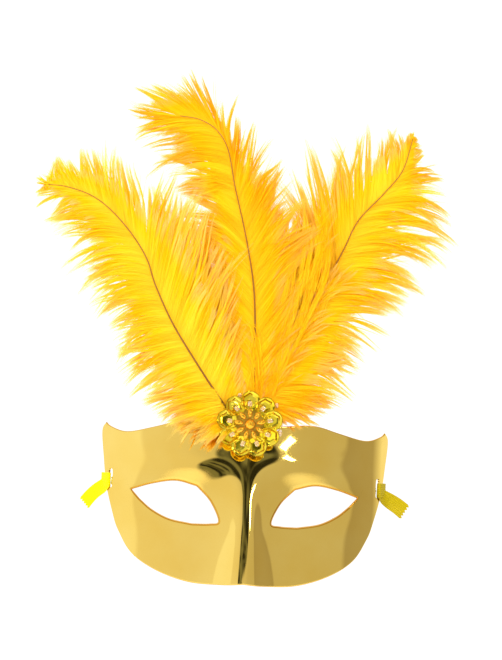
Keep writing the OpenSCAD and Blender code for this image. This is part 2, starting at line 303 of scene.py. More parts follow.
@dataclass(frozen=True)
class GildedPlastic(Finish):
    """Polystyrene, vacuum metallised and lacquered gold.

    The metal film gives a mirror, the tinted lacquer its colour, and the moulding under it faint ripples.
    """

    name: str = "gold_metallised_polystyrene"
    thick_lacquer: str = "#EFCB62"
    thin_lacquer: str = "#F3D472"
    roughness: float = 0.055
    ripple_mm: float = 16.0
    ripple_depth_mm: float = 0.02
    peel_mm: float = 2.2
    peel_depth_mm: float = 0.0006

    def surface(self, tree: bpy.types.NodeTree) -> bpy.types.NodeSocket:
        """Add a lacquered metal whose tint drifts and whose normal ripples."""
        tint = add_node(tree, "ShaderNodeValToRGB", {"Fac": grain(tree, 30, 3)})
        set_ramp(tint, [(0.3, self.thick_lacquer), (0.7, self.thin_lacquer)])
        ripple = bump(tree, grain(tree, self.ripple_mm, 1), self.ripple_depth_mm)
        normal = bump(tree, grain(tree, self.peel_mm, 2), self.peel_depth_mm, ripple)
        inputs = {
            "Base Color": tint.outputs["Color"],
            "Metallic": 1.0,
            "Roughness": self.roughness,
            "Normal": normal,
        }
        return add_node(tree, "ShaderNodeBsdfPrincipled", inputs).outputs["BSDF"]


@dataclass(frozen=True)
class BarePlastic(Finish):
    """The moulding's inner face: bare polystyrene that the metal only misted, so it is dull and grainy."""

    name: str = "misted_polystyrene"
    bare: str = "#D8C48C"
    misted: str = "#C9A545"

    def surface(self, tree: bpy.types.NodeTree) -> bpy.types.NodeSocket:
        """Add a satin plastic with patches of gold mist and a mould's fine grain."""
        mist = add_node(tree, "ShaderNodeValToRGB", {"Fac": grain(tree, 22, 4)})
        set_ramp(mist, [(0.35, self.bare), (0.62, self.misted)])
        normal = bump(tree, grain(tree, 0.7, 3), 0.02)
        inputs = {"Value": grain(tree, 9, 2), "To Min": 0.34, "To Max": 0.55}
        rough = add_node(tree, "ShaderNodeMapRange", inputs)
        inputs = {
            "Base Color": mist.outputs["Color"],
            "Metallic": 0.25,
            "Roughness": rough.outputs["Result"],
            "Normal": normal,
        }
        return add_node(tree, "ShaderNodeBsdfPrincipled", inputs).outputs["BSDF"]


@dataclass(frozen=True)
class DyedOstrich(Finish):
    """Ostrich barbs, bleached and dyed yellow.

    The thin barbs let light through, so the shade is a deeper orange and not grey. Towards their tips the
    barbs turn a pale beige: painted light for the bright backdrop seen through the thin ends.
    """

    name: str
    deep: str
    body: str
    bright: str
    web: str
    tip: str
    clear: float = 0.5

    def surface(self, tree: bpy.types.NodeTree) -> bpy.types.NodeSocket:
        """Add a soft shader that mixes reflected with transmitted light, coloured by barb and along it."""
        tone = add_node(tree, "ShaderNodeAttribute", attribute_name="tone").outputs["Fac"]
        reach = add_node(tree, "ShaderNodeAttribute", attribute_name="reach").outputs["Fac"]
        dye = add_node(tree, "ShaderNodeValToRGB", {"Fac": tone})
        set_ramp(dye, [(0.1, self.deep), (0.5, self.body), (0.9, self.bright)])
        inputs = {"Value": reach, "From Min": 0.4, "From Max": 0.05, "To Max": 0.7}
        near = add_node(tree, "ShaderNodeMapRange", inputs)
        inputs = {0: near.outputs["Result"], 6: dye.outputs["Color"], 7: linear(self.web)}
        combed = add_node(tree, "ShaderNodeMix", inputs, data_type="RGBA")
        # Painted light: the colour turns pale beige towards the tips, for the backdrop showing through the
        # thin ends
        painted_backlit_tips = add_node(tree, "ShaderNodeMapRange", {"Value": reach, "From Min": 0.55, "To Max": 0.9})
        inputs = {0: painted_backlit_tips.outputs["Result"], 6: combed.outputs[2], 7: linear(self.tip)}
        colour = add_node(tree, "ShaderNodeMix", inputs, data_type="RGBA").outputs[2]
        inputs = {"Base Color": colour, "Roughness": 0.62, "Specular IOR Level": 0.1, "Sheen Weight": 0.04}
        front = add_node(tree, "ShaderNodeBsdfPrincipled", inputs)
        through = add_node(tree, "ShaderNodeBsdfTranslucent", {"Color": colour})
        inputs = {0: self.clear, 1: front.outputs["BSDF"], 2: through.outputs["BSDF"]}
        return add_node(tree, "ShaderNodeMixShader", inputs).outputs["Shader"]


@dataclass(frozen=True)
class Keratin(Finish):
    """A plume's shaft: brown keratin, polished by growth, paler towards its tip."""

    name: str = "brown_keratin"
    root: str = "#6B3F08"
    tip: str = "#A8741C"

    def surface(self, tree: bpy.types.NodeTree) -> bpy.types.NodeSocket:
        """Add a smooth horn that lightens along the shaft, with fine lengthwise streaks."""
        reach = add_node(tree, "ShaderNodeAttribute", attribute_name="reach").outputs["Fac"]
        shade = add_node(tree, "ShaderNodeValToRGB", {"Fac": reach})
        set_ramp(shade, [(0.0, self.root), (1.0, self.tip)])
        inputs = {
            "Base Color": shade.outputs["Color"],
            "Roughness": 0.32,
            "Normal": bump(tree, grain(tree, 0.4, 2), 0.02),
        }
        return add_node(tree, "ShaderNodeBsdfPrincipled", inputs).outputs["BSDF"]


@dataclass(frozen=True)
class Mottled(Finish):
    """A finish whose colour drifts in small patches between two shades, on a bumpy or a smooth surface.

    The patch is their size in millimetres and their detail, and the relief is its size, detail and depth.
    """

    name: str
    patch: tuple[float, float]
    shades: tuple[tuple[float, str], tuple[float, str]]
    shader: dict[str, float]
    relief: tuple[float, float, float] | None = None

    def surface(self, tree: bpy.types.NodeTree) -> bpy.types.NodeSocket:
        """Add a shader with the mottled colour and the relief."""
        tint = add_node(tree, "ShaderNodeValToRGB", {"Fac": grain(tree, *self.patch)})
        set_ramp(tint, list(self.shades))
        inputs = {"Base Color": tint.outputs["Color"], **self.shader}
        if self.relief is not None:
            size, detail, depth = self.relief
            inputs["Normal"] = bump(tree, grain(tree, size, detail), depth)
        return add_node(tree, "ShaderNodeBsdfPrincipled", inputs).outputs["BSDF"]


# Cup sequins: PVC film, metallised, dyed olive gold and hot pressed, so its facets are mirrors, a bit cockled
SEQUIN_FILM = Mottled(
    "olive_gold_sequin_film",
    (5, 2),
    ((0.35, "#EBCF20"), (0.7, "#F6E24C")),
    {"Metallic": 0.95, "Roughness": 0.06},
    (3, 1, 0.03),
)
# Plastic beads with a fired gold lustre: a warm metal, more orange than the sequins and a little uneven
LUSTRE_BEAD = Mottled(
    "gold_lustre_bead",
    (1.6, 2),
    ((0.3, "#F6B024"), (0.75, "#FFCC48")),
    {"Metallic": 0.9, "Roughness": 0.1},
    (1.1, 1, 0.01),
)
# Little tubes of pressed glass, faintly pink, with a milky core that scatters light
CLEAR_BEAD = Mottled(
    "pink_tinged_glass",
    (1.2, 2),
    ((0.35, "#F8D8A0"), (0.7, "#FDEBCB")),
    {"Roughness": 0.06, "IOR": 1.5, "Transmission Weight": 0.8},
)
# Hot-melt glue that set in drips: milky, waxy and a little yellow, its trapped bubbles showing as paler spots
HOT_GLUE = Mottled(
    "milky_hot_glue",
    (2.4, 3),
    ((0.35, "#F2CF9C"), (0.7, "#F8E4C4")),
    {"Roughness": 0.2, "Transmission Weight": 0.7},
    (1.8, 2, 0.08),
)
# The flower's backing: matt yellow felt bonded to card, its fibres about a third of a millimetre apart
FELTED_CARD = Mottled(
    "yellow_bonded_felt",
    (0.35, 4),
    ((0.3, "#A98A1E"), (0.7, "#DDBB3C")),
    {"Roughness": 0.95, "Sheen Weight": 0.3},
    (0.35, 4, 0.15),
)
# Drawn brass craft wire, lightly toned by handling, with tarnish in small patches
BRASS_WIRE = Mottled(
    "drawn_brass_wire",
    (2.0, 3),
    ((0.35, "#B9852A"), (0.65, "#E2B04A")),
    {"Metallic": 1.0, "Roughness": 0.28},
)


@dataclass(frozen=True)
class SatinRibbon(Finish):
    """Polyester satin ribbon: warp floats along its length give a sheen, and a woven edge holds it.

    Real floats are a tenth of a millimetre wide, too fine to show, so they are drawn fourteen times as wide.
    """

    name: str
    colour: str
    shade: str
    float_mm: float = 1.4
    width_mm: float = 10.0

    def surface(self, tree: bpy.types.NodeTree) -> bpy.types.NodeSocket:
        """Add a weave that follows the ribbon's own map: U across it and V along it, in ribbon widths."""
        place = add_node(tree, "ShaderNodeUVMap", uv_map="weave").outputs["UV"]
        split = add_node(tree, "ShaderNodeSeparateXYZ", {"Vector": place})
        counted = {}
        for axis in "XY":
            inputs = {0: split.outputs[axis], 1: self.width_mm / self.float_mm}
            counted[axis] = add_node(tree, "ShaderNodeMath", inputs, operation="MULTIPLY").outputs[0]
        cells = add_node(tree, "ShaderNodeCombineXYZ", counted).outputs["Vector"]
        inputs = {"Vector": cells, "Scale": ONE_BAND, "Distortion": 0.4, "Detail": 1.0}
        thread = add_node(tree, "ShaderNodeTexWave", inputs, bands_direction="X").outputs["Fac"]
        tint = add_node(tree, "ShaderNodeValToRGB", {"Fac": thread})
        set_ramp(tint, [(0.0, self.shade), (0.6, self.colour)])
        inputs = {
            "Base Color": tint.outputs["Color"],
            "Roughness": 0.42,
            "Sheen Weight": 0.12,
            "Sheen Roughness": 0.4,
            "Specular IOR Level": 0.2,
            "Normal": bump(tree, thread, 0.004),
        }
        front = add_node(tree, "ShaderNodeBsdfPrincipled", inputs)
        through = add_node(tree, "ShaderNodeBsdfTranslucent", {"Color": tint.outputs["Color"]})
        inputs = {0: 0.25, 1: front.outputs["BSDF"], 2: through.outputs["BSDF"]}
        return add_node(tree, "ShaderNodeMixShader", inputs).outputs["Shader"]


@dataclass(frozen=True)
class SewingThread(Finish):
    """Spun polyester thread, wound into a band."""

    name: str = "yellow_spun_thread"
    strand_mm: float = 0.4

    def surface(self, tree: bpy.types.NodeTree) -> bpy.types.NodeSocket:
        """Add turns of thread one above the other, as bands along Z."""
        place = add_node(tree, "ShaderNodeTexCoord").outputs["Object"]
        inputs = {"Vector": place, "Scale": ONE_BAND / (self.strand_mm * MM), "Distortion": 0.8}
        turns = add_node(tree, "ShaderNodeTexWave", inputs, bands_direction="Z").outputs["Fac"]
        tint = add_node(tree, "ShaderNodeValToRGB", {"Fac": turns})
        set_ramp(tint, [(0.0, "#B99A00"), (0.6, "#F2DC18")])
        inputs = {"Base Color": tint.outputs["Color"], "Roughness": 0.8, "Normal": bump(tree, turns, 0.2)}
        return add_node(tree, "ShaderNodeBsdfPrincipled", inputs).outputs["BSDF"]


@dataclass(frozen=True)
class PaintedFloor(Finish):
    """A studio floor in matt white paint, which fades out towards its rim."""

    name: str = "matt_white_floor"
    clear_from: float = 0.35
    clear_to: float = 0.85

    def surface(self, tree: bpy.types.NodeTree) -> bpy.types.NodeSocket:
        """Add a pale matt shader that turns transparent with distance from the middle, in metres."""
        place = add_node(tree, "ShaderNodeTexCoord").outputs["Object"]
        far = add_node(tree, "ShaderNodeVectorMath", {0: place}, operation="LENGTH").outputs["Value"]
        inputs = {"Value": far, "From Min": self.clear_from, "From Max": self.clear_to}
        fade = add_node(tree, "ShaderNodeMapRange", inputs, interpolation_type="SMOOTHSTEP").outputs["Result"]
        inputs = {"Base Color": linear("#F4F2EE"), "Roughness": 0.9}
        paint = add_node(tree, "ShaderNodeBsdfPrincipled", inputs).outputs["BSDF"]
        clear = add_node(tree, "ShaderNodeBsdfTransparent").outputs["BSDF"]
        return add_node(tree, "ShaderNodeMixShader", {0: fade, 1: paint, 2: clear}).outputs["Shader"]


class Plumage(Enum):
    """The three plumes' dyes, from the front one to the one at the back."""

    # The last colour of each is the painted pale tip: painted light for the backdrop seen through the thin
    # ends
    LEFT = DyedOstrich("pale_yellow_ostrich", "#FFD008", "#FFDE14", "#FFEA38", "#FFE33E", "#FFE490")
    CENTRE = DyedOstrich("deep_yellow_ostrich", "#FFC804", "#FFD40A", "#FFE226", "#FFD92A", "#FBD470")
    RIGHT = DyedOstrich("warm_yellow_ostrich", "#FFCC06", "#FFD80E", "#FFE62E", "#FFDE36", "#FCDB84")


# ---------------------------------------------------------------- studio


@dataclass
class Studio:
    """A level camera on a long lens, a pale floor, and soft light from both sides of the camera."""

    aim: tuple[float, float, float] = (0.6, 40.0, 99.5)
    distance: float = 3600.0
    view_height: float = 379.5
    yaw_deg: float = 2.8
    roll_deg: float = 2.4
    sensor: float = 36.0
    floor_z: float = -230.0
    floor_radius: float = 900.0
    lit_z: float = 40.0

    def camera(self) -> bpy.types.Object:
        """Make the camera, level and a little to the left, and turned a little about its own axis."""
        data = bpy.data.cameras.new("camera")
        data.sensor_width = self.sensor
        data.lens = self.sensor * self.distance / self.view_height
        data.clip_start, data.clip_end = 0.1, 20.0
        eye = bpy.data.objects.new("camera", data)
        bpy.context.scene.collection.objects.link(eye)
        yaw, roll = math.radians(self.yaw_deg), math.radians(self.roll_deg)
        right = np.array([math.cos(yaw), -math.sin(yaw), 0.0])
        back = np.array([-math.sin(yaw), -math.cos(yaw), 0.0])
        up = np.array([0.0, 0.0, 1.0])
        across = math.cos(roll) * right + math.sin(roll) * up
        above = math.cos(roll) * up - math.sin(roll) * right
        turn = Matrix(np.stack([across, above, back], axis=1).tolist()).to_4x4()
        turn.translation = ((np.array(self.aim) + self.distance * back) * MM).tolist()
        eye.matrix_world = turn
        bpy.context.scene.camera = eye
        return eye

    def floor(self) -> bpy.types.Object:
        """Make the floor, a disc of rings whose material fades at its rim."""
        sides, rings = 64, 8
        turn = np.linspace(0, 2 * np.pi, sides, endpoint=False)
        far = np.linspace(0, self.floor_radius, rings + 1)[1:, None]
        x, y = far * np.cos(turn), far * np.sin(turn)
        points = np.stack([x, y, np.zeros_like(x)], axis=-1).reshape(-1, 3) * MM
        faces = grid_faces(rings, sides, wrap_columns=True).tolist() + [list(range(sides))]
        mesh = bpy.data.meshes.new("floor")
        mesh.from_pydata(points.tolist(), [], faces)
        mesh.materials.append(PaintedFloor().material())
        disc = bpy.data.objects.new("floor", mesh)
        disc.location.z = self.floor_z * MM
        bpy.context.scene.collection.objects.link(disc)
        return disc

    def world(self) -> None:
        """Make the white room: brighter on the left than on the right, and dark where the camera stands.

        The dark places are two ovals in front of the mask, one slanting past the camera and one above it, and
        the mirror-like brow and nose show them.
        """
        world = bpy.data.worlds.new("studio")
        bpy.context.scene.world = world
        world.use_nodes = True
        tree = world.node_tree
        tree.nodes.clear()
        way = add_node(tree, "ShaderNodeTexCoord").outputs["Generated"]
        split = add_node(tree, "ShaderNodeSeparateXYZ", {"Vector": way})
        inputs = {"Value": split.outputs["Z"], "From Min": 0.15, "To Max": 0.5}
        lift = add_node(tree, "ShaderNodeMapRange", inputs)
        right = add_node(tree, "ShaderNodeMath", {0: split.outputs["X"], 1: lift.outputs[0]}, operation="ADD")
        side = add_node(tree, "ShaderNodeMapRange", {"Value": right.outputs[0], "From Min": -1.0})
        room = add_node(tree, "ShaderNodeValToRGB", {"Fac": side.outputs["Result"]})
        stops = [(0.0, "#FFFFFF"), (0.06, "#FFFFFF"), (0.075, "#F0ECE4"), (0.3, "#EBE6DD"), (0.5, "#DAD5CC")]
        set_ramp(room, stops + [(0.66, "#CCC8BF"), (0.93, "#C9C4BA"), (0.945, "#ACA498"), (1.0, "#B2ABA0")])
        slanting = self.oval(tree, way, (-0.13, -0.03), (0.45, 0.2), 65.0)
        above = self.oval(tree, way, (0.05, 0.38), (0.2, 0.42), 0.0)
        both = add_node(tree, "ShaderNodeMath", {0: slanting, 1: above}, operation="MAXIMUM").outputs[0]
        inputs = {"Value": split.outputs["Y"], "From Min": 0.0, "From Max": -0.3}
        front = add_node(tree, "ShaderNodeMapRange", inputs)
        dark = add_node(tree, "ShaderNodeMath", {0: both, 1: front.outputs[0]}, operation="MULTIPLY")
        inputs = {"Vector": way, "Scale": 7.0, "Detail": 1.0}
        patches = add_node(tree, "ShaderNodeTexNoise", inputs)
        gloom = add_node(tree, "ShaderNodeValToRGB", {"Fac": patches.outputs["Fac"]})
        set_ramp(gloom, [(0.38, "#2A2B24"), (0.56, "#7F8274")])
        inputs = {0: dark.outputs[0], 6: room.outputs["Color"], 7: gloom.outputs["Color"]}
        ahead = add_node(tree, "ShaderNodeMix", inputs, data_type="RGBA")
        inputs = {"Value": split.outputs["Y"], "From Min": 0.02, "From Max": 0.3}
        behind = add_node(tree, "ShaderNodeMapRange", inputs)
        inputs = {0: behind.outputs[0], 6: ahead.outputs[2], 7: (1.0, 1.0, 1.0, 1.0)}
        mixed = add_node(tree, "ShaderNodeMix", inputs, data_type="RGBA")
        back = add_node(tree, "ShaderNodeBackground", {"Color": mixed.outputs[2], "Strength": 1.12})
        out = add_node(tree, "ShaderNodeOutputWorld")
        tree.links.new(back.outputs["Background"], out.inputs["Surface"])
        bpy.context.scene.view_settings.view_transform = "Standard"

    @staticmethod
    def oval(
        tree: bpy.types.NodeTree,
        way: bpy.types.NodeSocket,
        middle: tuple[float, float],
        radii: tuple[float, float],
        slant_deg: float,
    ) -> bpy.types.NodeSocket:
        """Add an oval patch of the room with a soft edge.

        Args:
            tree: The world's node tree.
            way: The direction looked in.
            middle: The X and Z of the patch's middle, as parts of a direction of length 1.
            radii: Its long and short half-widths, in the same measure.
            slant_deg: How far its first half-width turns up from +X.

        Returns:
            A value that is 1 in the patch and 0 outside it.
        """
        c, s = math.cos(math.radians(slant_deg)), math.sin(math.radians(slant_deg))
        inputs = {0: way, 1: (middle[0], 0.0, middle[1])}
        off = add_node(tree, "ShaderNodeVectorMath", inputs, operation="SUBTRACT").outputs["Vector"]
        inputs = {0: off, 1: (c / radii[0], 0.0, s / radii[0])}
        first = add_node(tree, "ShaderNodeVectorMath", inputs, operation="DOT_PRODUCT").outputs["Value"]
        inputs = {0: off, 1: (s / radii[1], 0.0, -c / radii[1])}
        second = add_node(tree, "ShaderNodeVectorMath", inputs, operation="DOT_PRODUCT").outputs["Value"]
        both = add_node(tree, "ShaderNodeCombineXYZ", {"X": first, "Y": second})
        far = add_node(tree, "ShaderNodeVectorMath", {0: both.outputs[0]}, operation="LENGTH")
        inputs = {"Value": far.outputs["Value"], "From Min": 1.06, "From Max": 0.88}
        return add_node(tree, "ShaderNodeMapRange", inputs).outputs["Result"]

    def lamp(
        self,
        name: str,
        turn: tuple[float, float],
        far: float,
        size: tuple[float, float],
        watts: float,
        glint: bool = False,
        slant_deg: float = 0.0,
    ) -> bpy.types.Object:
        """Make a soft box that faces the mask's middle, which is lit_z above the origin.

        Args:
            name: Its name.
            turn: Its direction in degrees: to the right of the camera's side, and up.
            far: How far off it stands, in millimetres.
            size: Its width and height.
            watts: Its power.
            glint: Whether mirrors show it.
            slant_deg: How far it is turned about its own axis.

        Returns:
            The light.
        """
        data = bpy.data.lights.new(name, "AREA")
        data.shape = "RECTANGLE"
        data.size, data.size_y = size[0] * MM, size[1] * MM
        data.energy = watts
        box = bpy.data.objects.new(name, data)
        a, e = math.radians(turn[0]), math.radians(turn[1])
        back = np.array([math.sin(a) * math.cos(e), -math.cos(a) * math.cos(e), math.sin(e)])
        place = np.array([0.0, 0.0, self.lit_z]) + back * far
        right = unit(np.cross([0.0, 0.0, 1.0], back))
        c, s = math.cos(math.radians(slant_deg)), math.sin(math.radians(slant_deg))
        right, above = c * right + s * np.cross(back, right), c * np.cross(back, right) - s * right
        box.matrix_world = Matrix(np.stack([right, above, back], axis=1).tolist()).to_4x4()
        box.matrix_world.translation = (place * MM).tolist()
        box.visible_glossy = glint
        bpy.context.scene.collection.objects.link(box)
        return box


# ---------------------------------------------------------------- the shell


@dataclass(frozen=True)
class Swell:
    """A smooth hump or hollow of the shell, the same on both sides: the product of a bell in x and one in z.

    A bell is e to the power of minus the square of the distance as a share of its width.
    """

    rise: float
    x: float
    z: float
    wide: float
    tall: float

    def at(self, x: np.ndarray, z: np.ndarray) -> np.ndarray:
        """Give its height at x and z."""
        across = np.exp(-(((x - self.x) / self.wide) ** 2))
        return self.rise * across * np.exp(-(((z - self.z) / self.tall) ** 2))


@dataclass(frozen=True)
class NoseRidge:
    """The ridge of the nose: flat on top, and wider between the brows and at its foot than between the eyes.

    Attributes:
        out: How far its foot stands out.
        top: Height at which it starts.
        foot: Height of its foot.
        crown: How flat its top is, in square millimetres.
        half: Half-width of its crest level with the eyes.
        wing: How much wider the crest is at the foot.
        wing_top: Height from which down it widens.
        wing_run: Over what height it does.
        spread: How much wider the ridge is between the brows.
        spread_foot: Height from which up it widens.
        spread_run: Over what height it does.
        skirt: Half-width of the slope under the crest.
        skirt_more: How much wider the slope is at the foot.
        crest: The crest's part of the height. The slope has the rest.
    """

    out: float = 11.0
    top: float = 30.0
    foot: float = -46.0
    crown: float = 4.0
    half: float = 6.5
    wing: float = 7.0
    wing_top: float = -14.0
    wing_run: float = 32.0
    spread: float = 6.0
    spread_foot: float = 2.0
    spread_run: float = 22.0
    skirt: float = 11.0
    skirt_more: float = 4.0
    crest: float = 0.2

    def share(self, z: np.ndarray) -> np.ndarray:
        """Give its height as a share of the foot's: t^1.25 times (1 - 0.38 t squared) / 0.62."""
        t = np.clip((self.top - z) / (self.top - self.foot), 0, 1)
        return t**1.25 * (1 - 0.38 * t * t) / 0.62

    def at(self, x: np.ndarray, z: np.ndarray) -> np.ndarray:
        """Give its height at x and z.

        With the distance d = |x|^3 / (x^2 + crown), the crest is e to the power of minus the cube of d over
        its half-width, and the slope e to the power of minus the square of d over its own.
        """
        off = np.abs(x) ** 3 / (x**2 + self.crown)
        upper = self.spread * smooth_step((z - self.spread_foot) / self.spread_run)
        flank = self.half + self.wing * np.clip((self.wing_top - z) / self.wing_run, 0, 1) ** 1.2 + upper
        share = self.share(z)
        slope = np.exp(-((off / (self.skirt + self.skirt_more * share + upper)) ** 2))
        ridge = self.crest * np.exp(-((off / flank) ** 3)) + (1 - self.crest) * slope
        return self.out * share * ridge


@dataclass
class MaskShell:
    """The moulded half-mask. Its front is a height field, and its walls are rings round each eye opening."""

    wall: float = 1.2
    sweep_a: float = 88.0
    sweep_b: float = 56.0
    bowl: float = 0.0011
    socket: Swell = Swell(2.5, 39, 1, 23, 13)
    brow: Swell = Swell(1.8, 30, 24, 25, 9)
    nose: NoseRidge = NoseRidge()
    rim: float = 0.55
    slot_x: float = 76.8
    slot_z: float = 11.5
    slot_w: float = 3.4
    slot_h: float = 11.0
    fine: int = 4
    rings: int = 30
    top_edge: Points = field(
        default_factory=lambda: [
            (0, 44.2), (20, 45.4), (38, 46.3), (53, 42.4), (68.5, 38.7), (77.5, 41), (80.6, 43.6),
        ]
    )
    side_edge: Points = field(
        default_factory=lambda: [(80.6, 43.6), (82.9, 38.5), (81.6, 24), (79.2, 6), (73.5, -15)]
    )
    bottom_edge: Points = field(
        default_factory=lambda: [(73.5, -15), (64.5, -30), (50, -39.6), (31, -45.6), (13, -46.3), (0, -45.4)]
    )
    eye_inner: Points = field(
        default_factory=lambda: [(30, -12.3), (20, -11.9), (15, -10), (20, 1), (28, 9.4)]
    )
    eye_top: Points = field(default_factory=lambda: [(28, 9.4), (40, 12), (53, 9.8), (65, 5.8)])
    eye_outer: Points = field(default_factory=lambda: [(65, 5.8), (60, 0.4)])
    eye_bottom: Points = field(default_factory=lambda: [(60, 0.4), (53, -5.2), (43, -10), (30, -12.3)])
    steps: tuple[int, int, int, int] = (22, 22, 14, 20)

    def front_y(self, x: np.ndarray, z: np.ndarray) -> np.ndarray:
        """Give the front face's depth at x and z.

        It is a quarter ellipse swept back to the sides, plus a shallow bowl up and down, less the nose ridge,
        plus a hollow round each eye, less the swell of each brow.
        """
        sweep = self.sweep_b * (1 - np.sqrt(1 - np.clip(x / self.sweep_a, -0.999, 0.999) ** 2))
        plain = self.nose.out * self.nose.share(0.0) - self.wall + sweep + self.bowl * z * z
        ax = np.abs(x)
        return plain - self.nose.at(x, z) + self.socket.at(ax, z) - self.brow.at(ax, z)

    def normal(self, x: np.ndarray, z: np.ndarray, step: float = 0.05) -> np.ndarray:
        """Give the front face's outward normal, from its slope across two steps."""
        gx = (self.front_y(x + step, z) - self.front_y(x - step, z)) / (2 * step)
        gz = (self.front_y(x, z + step) - self.front_y(x, z - step)) / (2 * step)
        return unit(np.stack([gx, -np.ones_like(gx), gz], axis=-1))

    def front(self, x: np.ndarray, z: np.ndarray) -> np.ndarray:
        """Give points on the front face."""
        x, z = np.asarray(x, float), np.asarray(z, float)
        return np.stack([x, self.front_y(x, z), z], axis=-1)

    def behind(self, x: np.ndarray, z: np.ndarray, depth: float) -> np.ndarray:
        """Give points depth behind the front face, square to it."""
        x, z = np.asarray(x, float), np.asarray(z, float)
        return self.front(x, z) - depth * self.normal(x, z)

    def loops(self) -> tuple[np.ndarray, np.ndarray, int]:
        """Give the outline and the eye opening of the right half as matching loops.

        Returns:
            Both loops as x and z, and how many of their points lie on the centre line.
        """
        n = [s * self.fine for s in self.steps]
        share = [np.arange(k) / k for k in n]
        low, high = self.bottom_edge[-1][1], self.top_edge[0][1]
        centre = np.stack([np.zeros(n[0]), low + (high - low) * share[0]], axis=-1)
        edges = (self.top_edge, self.side_edge, self.bottom_edge)
        outline = np.vstack([centre] + [along(e, s) for e, s in zip(edges, share[1:])])
        eyes = (self.eye_inner, self.eye_top, self.eye_outer, self.eye_bottom)
        eye = np.vstack([along(e, s) for e, s in zip(eyes, share)])
        for _ in range(6):
            kept = outline[: n[0] + 1].copy()
            outline = (np.roll(outline, 1, 0) + 2 * outline + np.roll(outline, -1, 0)) / 4
            outline[: n[0] + 1] = kept
        for _ in range(3):
            eye = (np.roll(eye, 1, 0) + 2 * eye + np.roll(eye, -1, 0)) / 4
        return outline, eye, n[0]

    @staticmethod
    def outward(loop: np.ndarray) -> np.ndarray:
        """Give each point's direction away from the opening, square to the step between its neighbours."""
        step = unit(np.roll(loop, -1, 0) - np.roll(loop, 1, 0))
        return np.stack([-step[:, 1], step[:, 0]], axis=-1)

    def half(self) -> Surface:
        """Work out the right half: front, rounded rim, back and turned-in lip, as rings that close up.

        Returns:
            The half's surface. Faces of the back are in slot 1 and those of the edges in slot 2.
        """
        outline, eye, centre = self.loops()
        away = self.outward(eye)
        over = self.outward(outline)
        over[1:centre] = 0
        over[0], over[centre] = (0, -1), (0, 1)
        inner, outer = eye + 0.9 * away, outline - self.rim * over
        spread = 1 - (1 - np.linspace(0, 1, self.rings)) ** 1.5
        xz = inner + (outer - inner) * spread[:, None, None]
        face = self.front(xz[..., 0], xz[..., 1])
        back = self.behind(xz[..., 0], xz[..., 1], self.wall)
        rim_normal = self.normal(outer[:, 0], outer[:, 1])
        over3 = np.stack([over[:, 0], np.zeros(len(over)), over[:, 1]], axis=-1)
        over3 = over3 - (over3 * rim_normal).sum(-1, keepdims=True) * rim_normal
        middle = face[-1] - self.wall / 2 * rim_normal
        turn = np.radians([25, 50, 75, 90, 105, 130, 155])[:, None, None]
        rim = middle + self.wall / 2 * np.cos(turn) * rim_normal + self.rim * np.sin(turn) * over3
        # The lip's section: distance from the eye's edge, and depth behind the front face
        lip = np.array(
            [
                (1.15, 1.35), (0.85, 1.55), (0.66, 1.85), (0.56, 2.15), (0.4, 2.36), (0.15, 2.46),
                (-0.1, 2.44), (-0.28, 2.3), (-0.35, 2.08), (-0.24, 1.6), (-0.1, 1.1), (0.0, 0.72),
                (0.12, 0.4), (0.33, 0.17), (0.6, 0.045),
            ]
        )
        lip_xz = eye + lip[:, 0, None, None] * away
        turned = self.front(lip_xz[..., 0], lip_xz[..., 1])
        turned[..., 1] += lip[:, 1, None]
        rows = np.concatenate([face, rim, back[::-1][:-1], turned])
        count, width = rows.shape[:2]
        faces = grid_faces(count, width, wrap_rows=True, wrap_columns=True)
        row, column = faces[:, 0] // width, faces[:, 0] % width
        first_rim, last_rim = self.rings - 1, self.rings + len(rim)
        open_side = (column < centre) & (row >= first_rim) & (row < last_rim)
        slots = ((row >= last_rim - 1) & (row < count - len(lip) + 4)).astype(int)
        slots[(row >= count - len(lip) + 4) | ((row >= first_rim + 1) & (row < last_rim - 1))] = 2
        return Surface(rows.reshape(-1, 3), faces[~open_side][:, ::-1], slots=slots[~open_side])

    def slot_cutter(self, side: int) -> Surface:
        """Work out a prism with rounded ends that cuts one ribbon slot.

        Its section is a superellipse of the fourth power, which is a rectangle with round corners.

        Args:
            side: -1 for the left slot and 1 for the right one.

        Returns:
            The closed prism.
        """
        turn = np.linspace(0, 2 * np.pi, 40, endpoint=False)
        c, s = np.cos(turn), np.sin(turn)
        u = self.slot_w / 2 * np.sign(c) * np.sqrt(np.abs(c))
        w = self.slot_h / 2 * np.sign(s) * np.sqrt(np.abs(s))
        normal = self.normal(np.array(self.slot_x), np.array(self.slot_z))
        flat = unit(np.array([normal[0], normal[1], 0.0]))
        across = np.array([-flat[1], flat[0], 0.0])
        section = u[:, None] * across + w[:, None] * np.array([0, 0, 1.0])
        rows = [self.front(self.slot_x, self.slot_z) + d * flat + section for d in (-6, 6)]
        points = np.vstack(rows)
        points[:, 0] *= side
        caps = [np.vstack([points, row.mean(0) * (side, 1, 1)]) for row in rows]
        hubs = np.vstack([caps[0][-1], caps[1][-1]])
        n = len(turn)
        i = np.arange(n)
        walls = grid_faces(2, n, wrap_columns=True)
        tris = np.vstack([walls[:, [0, 1, 2]], walls[:, [0, 2, 3]]])
        low = np.stack([np.full(n, 2 * n), i, (i + 1) % n], axis=-1)
        high = np.stack([np.full(n, 2 * n + 1), n + (i + 1) % n, n + i], axis=-1)
        return Surface(np.vstack([points, hubs]), np.vstack([tris, low, high]))

    def build(self) -> bpy.types.Object:
        """Make the shell from its two halves and cut the slots."""
        right = self.half()
        left = Surface(right.points * (-1, 1, 1), right.faces[:, ::-1], slots=right.slots)
        edge = GildedPlastic("gilded_cut_edge", "#CF9226", "#E0AC3E")
        finishes = [GildedPlastic().material(), BarePlastic().material(), edge.material()]
        both = right.joined(left)
        piece = make_piece("shell", both, finishes, "mask", replaces=("mask_shell",))
        self.weld(piece.data)
        for side in (-1, 1):
            self.cut(piece, self.slot_cutter(side))
        piece.data.set_sharp_from_angle(angle=math.radians(40))
        return piece

